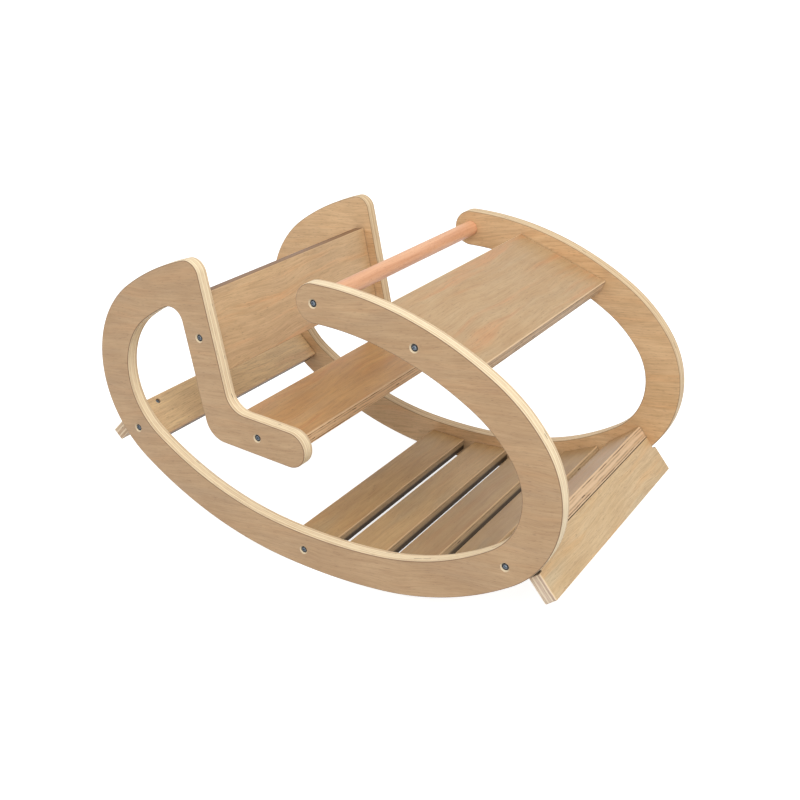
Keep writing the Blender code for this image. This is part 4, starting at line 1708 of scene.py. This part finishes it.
@dataclass(frozen=True)
class BoardPlan:
    """What the rocker's plan says of one board: its width, its fixings and its finish."""

    node: str
    width: float
    finish: Plywood
    figure: tuple[float, float]
    screw_ahead: Optional[float] = None
    pins: tuple[float, ...] = ()

    @property
    def label(self) -> str:
        """The word for this board in the names of its fixings."""
        return self.node.replace("_board", "")


@dataclass
class Rocker:
    """The balance rocker: two side panels, the boards and slats between them, two stops, a handle."""

    shape: SideShape
    slat_width: float = 0.0573
    seat_width: float = 0.1061
    backrest_width: float = 0.108
    table_width: float = 0.1388
    front_stop_width: float = 0.0560
    rear_stop_width: float = 0.057
    front_stop_shoulder: float = 0.0070
    rear_stop_shoulder: float = 0.003
    floor_slat_stations: tuple[float, ...] = (-0.0302, 0.0481, 0.1275, 0.2123)
    front_slat_station: float = 0.2971
    front_slat_inset: float = 0.0274
    front_screw_station: float = 0.296
    rear_slat_station: float = -0.358
    rear_slat_tilt: float = 4.3
    table_from_tip: float = 0.155
    table_drop: float = 0.0037
    seat_ahead_of_screw: float = 0.0013
    table_ahead_of_screw: float = 0.0039
    slat_pin: float = 0.018
    wide_pin: float = 0.036
    table_pin: float = 0.046
    stop_screw_y: float = 0.150
    notch_play: float = 0.0002
    stop_socket_turn: float = 11.0
    panel_socket_turn: float = 17.0
    stop_figure: tuple[float, float] = (3.3, 12.4)

    def plans(self) -> list[BoardPlan]:
        """The plan of every board that spans the panels.

        Returns:
            The plans, from the backrest round to the front slat.
        """
        pin, slat, seat, table = self.slat_pin, self.slat_width, self.seat_width, self.table_width
        wide = (self.wide_pin,)
        seat_ahead, table_ahead = self.seat_ahead_of_screw, self.table_ahead_of_screw
        return [
            BoardPlan("backrest_board", self.backrest_width, Woods.BACKREST, (0.2, 2.3), 0.0, wide),
            BoardPlan("seat_board", seat, Woods.SEAT, (1.1, 3.7), seat_ahead, wide),
            BoardPlan("table_board", table, Woods.TABLE, (2.4, 5.2), table_ahead, (self.table_pin,)),
            BoardPlan("rear_slat", slat, Woods.REAR_SLAT, (3.9, 6.1), 0.0, (pin,)),
            BoardPlan("floor_slat_1", slat, Woods.SLAT, (5.3, 7.4), 0.0, (pin,)),
            BoardPlan("floor_slat_2", slat, Woods.SLAT, (6.6, 8.9), None, (-pin, pin)),
            BoardPlan("floor_slat_3", slat, Woods.DEEP_SLAT, (7.2, 9.3), None, (-pin, pin)),
            BoardPlan("floor_slat_4", slat, Woods.DEEP_SLAT, (8.5, 10.7), None, (-pin, pin)),
            BoardPlan("front_slat", slat, Woods.FRONT_SLAT, (9.8, 11.6), 0.0, (-pin,)),
        ]

    def places(self) -> dict[str, Place]:
        """Where each board stands, in the stood rocker.

        Returns:
            The places by the boards' nodes.
        """
        shape, middle = self.shape, self.shape.band_width / 2
        table = shape.place(shape.front_length() - self.table_from_tip, middle + self.table_drop)
        rear = shape.place(self.rear_slat_station, middle)
        drawn = {
            "backrest_board": Place(shape.backrest, shape.back_up),
            "seat_board": Place(shape.seat + shape.seat_ahead * self.seat_ahead_of_screw, shape.seat_ahead),
            "table_board": Place(table.centre, -table.along),
            "rear_slat": Place(rear.centre, turned(rear.along, math.radians(self.rear_slat_tilt))),
        }
        for number, station in enumerate(self.floor_slat_stations):
            drawn[f"floor_slat_{number + 1}"] = shape.place(station, middle)
        drawn["front_slat"] = shape.place(self.front_slat_station, self.front_slat_inset)
        return {node: shape.stood_place(place) for node, place in drawn.items()}

    def _stop(self, slat: Place, edge: int, width: float) -> Place:
        """Where a stop stands: under the edge of its slat, square to the slat's lower face.

        Args:
            slat: The slat's place.
            edge: 1 for the slat's front edge, -1 for its rear edge.
            width: The stop's width.

        Returns:
            Its place, with its width pointing away from the slat.
        """
        outward = -slat.upward
        reach = slat.along * edge * (self.slat_width - Board.thickness) / 2
        return Place(slat.centre + reach + outward * (Board.thickness / 2 + JOINT + width / 2), outward)

    def _notch(self, stop: Place, width: float, front: bool) -> float:
        """How deep a stop's notches reach from its upper edge: to just under the panels' outer edge.

        Args:
            stop: The stop's place.
            width: Its width.
            front: Whether it is the front stop.

        Returns:
            The depth, the larger of what its two faces need.
        """
        half = Board.thickness / 2
        starts = [stop.point(-width / 2, face * half) for face in (-1.0, 1.0)]
        reach = max(self.shape.to_outer_edge(start, stop.along, front) for start in starts)
        return reach + JOINT + self.notch_play

    def _stop_axes(self, slat: Place, edge: int, depth: float) -> dict[Side, Axis]:
        """The axes of a stop's two screws.

        Args:
            slat: The place of the slat that they go through.
            edge: 1 for the slat's front edge, -1 for its rear edge.
            depth: How far under the slat's upper face they start.

        Returns:
            The axis on each side, pointing into the stop.
        """
        reach = slat.along * edge * (self.slat_width - Board.thickness) / 2
        start = slat.centre + reach + slat.upward * (Board.thickness / 2 - depth)
        inward, across = in_space(-slat.upward, 0.0), np.array([0.0, 1.0, 0.0])
        return {side: Axis(in_space(start, side.value * self.stop_screw_y), inward, across) for side in Side}

    def build(self, materials: Materials) -> None:
        """Makes every piece of the rocker.

        Args:
            materials: The finishes made so far.
        """
        places = self.places()
        screws: dict[str, Array] = {}
        pins: dict[str, Array] = {}
        boards: dict[str, Board] = {}
        for plan in self.plans():
            place, screw = places[plan.node], None
            if plan.node == "front_slat":
                drawn = self.shape.place(self.front_screw_station, self.shape.band_width / 2)
                screw = self.shape.stood(drawn.centre)
            elif plan.screw_ahead is not None:
                screw = place.point(-plan.screw_ahead)
            if screw is not None:
                screws[plan.label] = screw
            names = [""] if len(plan.pins) == 1 else ["_rear", "_front"]
            pins.update({plan.label + name: place.point(offset) for name, offset in zip(names, plan.pins)})
            boards[plan.node] = Board(
                plan.node, place, plan.width, plan.finish, plan.figure, screw, plan.pins
            )
        handle = self.shape.stood(self.shape.handle_centre())
        for side in Side:
            finish = Woods.NEAR_PANEL if side is Side.RIGHT else Woods.FAR_PANEL
            panel = SidePanel(side, self.shape, finish, list(screws.values()), list(pins.values()), handle)
            panel.build(materials)
        for label, edge, width, shoulder, wood in (
            ("rear", -1, self.rear_stop_width, self.rear_stop_shoulder, Woods.REAR_STOP),
            ("front", 1, self.front_stop_width, self.front_stop_shoulder, Woods.FRONT_STOP),
        ):
            slat = places[f"{label}_slat"]
            place = self._stop(slat, edge, width)
            notch = self._notch(place, width, edge > 0)
            name, figure = f"{label}_stop_board", (edge * self.stop_figure[0], self.stop_figure[1])
            stop = StopBoard(name, place, width, shoulder, notch, self.stop_screw_y, wood, figure)
            stop.build(materials)
            heads = self._stop_axes(slat, edge, 0.0).values()
            boards[f"{label}_slat"].seats = [STOP_SCREW.seat(axis, Board.thickness) for axis in heads]
            for side, axis in self._stop_axes(slat, edge, STOP_SCREW.sunk).items():
                name = f"{side.label}_{label}_stop_screw"
                neck_end = Board.thickness - STOP_SCREW.sunk
                turn = self.stop_socket_turn * side.value
                Screw(name, STOP_SCREW, axis, neck_end, turn).build(materials)
        for board in boards.values():
            board.build(materials)
        HandleDowel(handle).build(materials)
        screws["handle"] = handle
        for side in Side:
            sign = float(side.value)
            for number, (label, point) in enumerate(screws.items()):
                axis = along_y(point, sign * (OUTER_Y - PANEL_SCREW.sunk), -sign)
                name = f"{side.label}_{label}_screw"
                neck_end = OUTER_Y - INNER_Y - PANEL_SCREW.sunk
                turn = self.panel_socket_turn * number
                Screw(name, PANEL_SCREW, axis, neck_end, turn).build(materials)
            for label, point in pins.items():
                axis = along_y(point, sign * (INNER_Y + PIN_IN_PANEL), -sign)
                DowelPin(f"{side.label}_{label}_pin", axis).build(materials)


# Camera, light and floor


@dataclass(frozen=True)
class Viewpoint:
    """The camera at the photograph's angle, placed in the drawing and stood with the rocker."""

    eye: tuple[float, float, float] = (0.7230, -1.1584, 0.7977)
    turn: tuple[float, float, float] = (65.359, 0.0, 32.156)
    lens: float = 48.83
    sensor: float = 36.0

    def build(self, shape: SideShape) -> None:
        """Makes the scene's camera.

        Args:
            shape: The side outline, for its lean and shift.
        """
        data = bpy.data.cameras.new("photo_camera")
        data.lens = self.lens
        data.sensor_width = self.sensor
        camera = bpy.data.objects.new("photo_camera", data)
        bpy.context.scene.collection.objects.link(camera)
        x, z = shape.stood(np.array([self.eye[0], self.eye[2]]))
        lean = Matrix.Rotation(-math.radians(shape.lean), 4, "Y")
        tilt, roll, pan = (math.radians(angle) for angle in self.turn)
        facing = Matrix.Rotation(pan, 4, "Z") @ Matrix.Rotation(roll, 4, "Y") @ Matrix.Rotation(tilt, 4, "X")
        camera.matrix_world = Matrix.Translation((float(x), self.eye[1], float(z))) @ lean @ facing
        bpy.context.scene.camera = camera


@dataclass(frozen=True)
class Studio:
    """A pale floor that reads as white paper, a white surround and two large soft lamps."""

    floor_size: float = 30.0
    floor_colour: Colour = (0.56, 0.56, 0.56)
    floor_glow: float = 0.86
    floor_roughness: float = 0.9
    floor_gloss: float = 0.1
    surround: float = 0.58
    key_place: tuple[float, float, float] = (1.6, -1.5, 2.6)
    key_power: float = 63.0
    fill_place: tuple[float, float, float] = (-1.6, -1.9, 1.6)
    fill_power: float = 13.0
    lamp_aim: tuple[float, float, float] = (0.0, 0.0, 0.15)
    lamp_size: float = 2.2

    def _shown(self, tree: bpy.types.NodeTree) -> Socket:
        """Tells the rays that show the background from the rays that light the rocker.

        Args:
            tree: The node tree.

        Returns:
            1 for camera, glossy and transmission rays, 0 for the others.
        """
        path = tree.nodes.new("ShaderNodeLightPath")
        shown = path.outputs["Is Camera Ray"]
        for kind in ("Is Glossy Ray", "Is Transmission Ray"):
            either = tree.nodes.new("ShaderNodeMath")
            either.operation = "MAXIMUM"
            tree.links.new(shown, either.inputs[0])
            tree.links.new(path.outputs[kind], either.inputs[1])
            shown = either.outputs[0]
        return shown

    def _blend(self, tree: bpy.types.NodeTree, share: Socket, low: float, high: float) -> Socket:
        """A number that goes from low to high as a share goes from 0 to 1.

        Args:
            tree: The node tree.
            share: The share.
            low: The number at 0.
            high: The number at 1.

        Returns:
            The number.
        """
        node = tree.nodes.new("ShaderNodeMapRange")
        tree.links.new(share, node.inputs[0])
        node.inputs[3].default_value = low
        node.inputs[4].default_value = high
        return node.outputs[0]

    def _world(self) -> None:
        """A white surround: strength 1 where it is seen, and the plain level where it lights."""
        world = bpy.data.worlds.new("white_surround")
        world.use_nodes = True
        tree = world.node_tree
        background = tree.nodes["Background"]
        background.inputs["Color"].default_value = (1.0, 1.0, 1.0, 1.0)
        strength = self._blend(tree, self._shown(tree), self.surround, 1.0)
        tree.links.new(strength, background.inputs["Strength"])
        bpy.context.scene.world = world

    def _floor(self) -> None:
        """A flat sheet at z = 0 whose own glow, seen by the camera only, lifts it to white paper."""
        half = self.floor_size / 2
        corners = [(-half, -half, 0.0), (half, -half, 0.0), (half, half, 0.0), (-half, half, 0.0)]
        mesh = bpy.data.meshes.new("floor")
        mesh.from_pydata(corners, [], [(0, 1, 2, 3)])
        floor = bpy.data.objects.new("floor", mesh)
        bpy.context.scene.collection.objects.link(floor)
        material = bpy.data.materials.new("white_paper")
        material.use_nodes = True
        tree = material.node_tree
        shader = tree.nodes["Principled BSDF"]
        shader.inputs["Base Color"].default_value = (*self.floor_colour, 1.0)
        shader.inputs["Roughness"].default_value = self.floor_roughness
        shader.inputs["Specular IOR Level"].default_value = self.floor_gloss
        shader.inputs["Emission Color"].default_value = (1.0, 1.0, 1.0, 1.0)
        glow = self._blend(tree, self._shown(tree), 0.0, self.floor_glow)
        tree.links.new(glow, shader.inputs["Emission Strength"])
        mesh.materials.append(material)

    def _lamp(self, name: str, place: tuple[float, float, float], power: float) -> None:
        """A soft lamp, a large square that faces the aim.

        Args:
            name: What to call it.
            place: Where it hangs.
            power: Its watts.
        """
        light = bpy.data.lights.new(name, "AREA")
        light.size = self.lamp_size
        light.energy = power
        lamp = bpy.data.objects.new(name, light)
        bpy.context.scene.collection.objects.link(lamp)
        aim = (Vector(self.lamp_aim) - Vector(place)).to_track_quat("-Z", "Y")
        lamp.matrix_world = Matrix.Translation(place) @ aim.to_matrix().to_4x4()

    def build(self) -> None:
        """Makes the surround, the floor and the lamps, and sets how the picture is shown."""
        bpy.context.scene.view_settings.view_transform = "Standard"
        self._world()
        self._floor()
        self._lamp("key_lamp", self.key_place, self.key_power)
        self._lamp("fill_lamp", self.fill_place, self.fill_power)


# Boards get painted shade at their ends, where they meet the panels.
BOARD_SHEET = {"end_shade": 0.85, "plies": 5}


class Woods:
    """The plywood of each piece: one kind of sheet, with each piece's own tone, figure and edges; the floor
    slats' tones also hold painted shade and the rear slat's painted light.
    """

    NEAR_PANEL = Plywood(
        "near_panel_birch", srgb(201, 168, 129), srgb(181, 147, 110), srgb(205, 158, 113), 0.30,
        srgb(171, 146, 119), 0.35, rim=srgb(112, 80, 54), rim_share=0.75,
    )
    FAR_PANEL = Plywood(
        "far_panel_birch", srgb(230, 194, 149), srgb(210, 172, 126), srgb(226, 171, 115), 0.30,
        srgb(188, 158, 124), 0.20, edge_pale=srgb(236, 211, 172), edge_deep=srgb(213, 181, 140),
        rim=srgb(112, 80, 54), rim_share=0.60,
    )
    BACKREST = Plywood(
        "backrest_birch", srgb(222, 188, 144), srgb(203, 168, 124), srgb(236, 170, 112), 0.40,
        edge_pale=srgb(150, 116, 86), edge_deep=srgb(112, 82, 58), rim_share=0.15, **BOARD_SHEET,
    )
    SEAT = Plywood(
        "seat_birch", srgb(214, 168, 110), srgb(189, 142, 91), srgb(201, 133, 83), 0.45,
        edge_pale=srgb(245, 208, 165), edge_deep=srgb(213, 176, 135), glue=srgb(86, 58, 36),
        glue_share=0.95, rim_share=0.6, **BOARD_SHEET,
    )
    TABLE = Plywood(
        "table_birch", srgb(197, 167, 126), srgb(186, 150, 107), srgb(207, 141, 92), 0.50,
        srgb(182, 160, 126), 0.30, figure=0.03, edge_pale=srgb(216, 186, 152),
        edge_deep=srgb(190, 160, 128), glue=srgb(78, 52, 32), glue_share=0.95, rim_share=0.7, **BOARD_SHEET,
    )
    # The rear slat's tone is lifted above the other slats' as painted light, standing in for light that
    # falls on it.
    REAR_SLAT = Plywood(
        "rear_slat_birch", srgb(252, 222, 173), srgb(228, 196, 151), edge_pale=srgb(228, 196, 160),
        edge_deep=srgb(198, 164, 128), under_shade=0.9, **BOARD_SHEET,
    )
    # The floor slats' tone is darkened as painted shade from the table and seat above them.
    SLAT = Plywood(
        "floor_slat_birch", srgb(200, 166, 117), srgb(178, 144, 99), srgb(194, 144, 91), 0.25,
        srgb(168, 154, 123), 0.35, edge_pale=srgb(208, 178, 138), edge_deep=srgb(170, 142, 108),
        glue=srgb(104, 76, 56), rim=srgb(222, 188, 146), rim_share=0.65, under_shade=0.85, **BOARD_SHEET,
    )
    # A darker copy of the slat wood for the two slats under the table, as more painted shade.
    DEEP_SLAT = Plywood(
        "deep_floor_slat_birch", srgb(183, 153, 109), srgb(163, 131, 91), srgb(178, 131, 84), 0.25,
        srgb(153, 141, 114), 0.35, edge_pale=srgb(208, 178, 138), edge_deep=srgb(170, 142, 108),
        glue=srgb(104, 76, 56), rim=srgb(222, 188, 146), rim_share=0.65, under_shade=0.85, **BOARD_SHEET,
    )
    FRONT_SLAT = Plywood(
        "front_slat_birch", srgb(196, 160, 114), srgb(174, 138, 96), srgb(190, 138, 88), 0.25,
        srgb(164, 148, 120), 0.35, edge_pale=srgb(224, 192, 156), edge_deep=srgb(204, 170, 132),
        glue=srgb(84, 58, 40), glue_share=0.9, rim_share=0.5, **BOARD_SHEET,
    )
    FRONT_STOP = Plywood(
        "front_stop_birch", srgb(218, 190, 148), srgb(204, 172, 126), srgb(224, 176, 118), 0.60,
        srgb(204, 190, 158), 0.45, figure=0.05, edge_pale=srgb(240, 222, 196), edge_deep=srgb(190, 160, 142),
        top_shade=0.8,
    )
    REAR_STOP = Plywood(
        "rear_stop_birch", srgb(210, 178, 138), srgb(188, 154, 116), edge_pale=srgb(238, 216, 186),
        edge_deep=srgb(200, 170, 140),
    )


def main() -> None:
    """Builds the rocker over its frame, the camera and the studio."""
    logging.basicConfig(level=logging.INFO, format="%(name)s: %(message)s", force=True)
    shape = SideShape()
    shape.settle(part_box("right_side_panel")[0])
    log.info("outline shifted by %.5f, %.5f", *shape.shift)
    Rocker(shape).build(Materials())
    Viewpoint().build(shape)
    Studio().build()


if __name__ == "__main__":
    main()
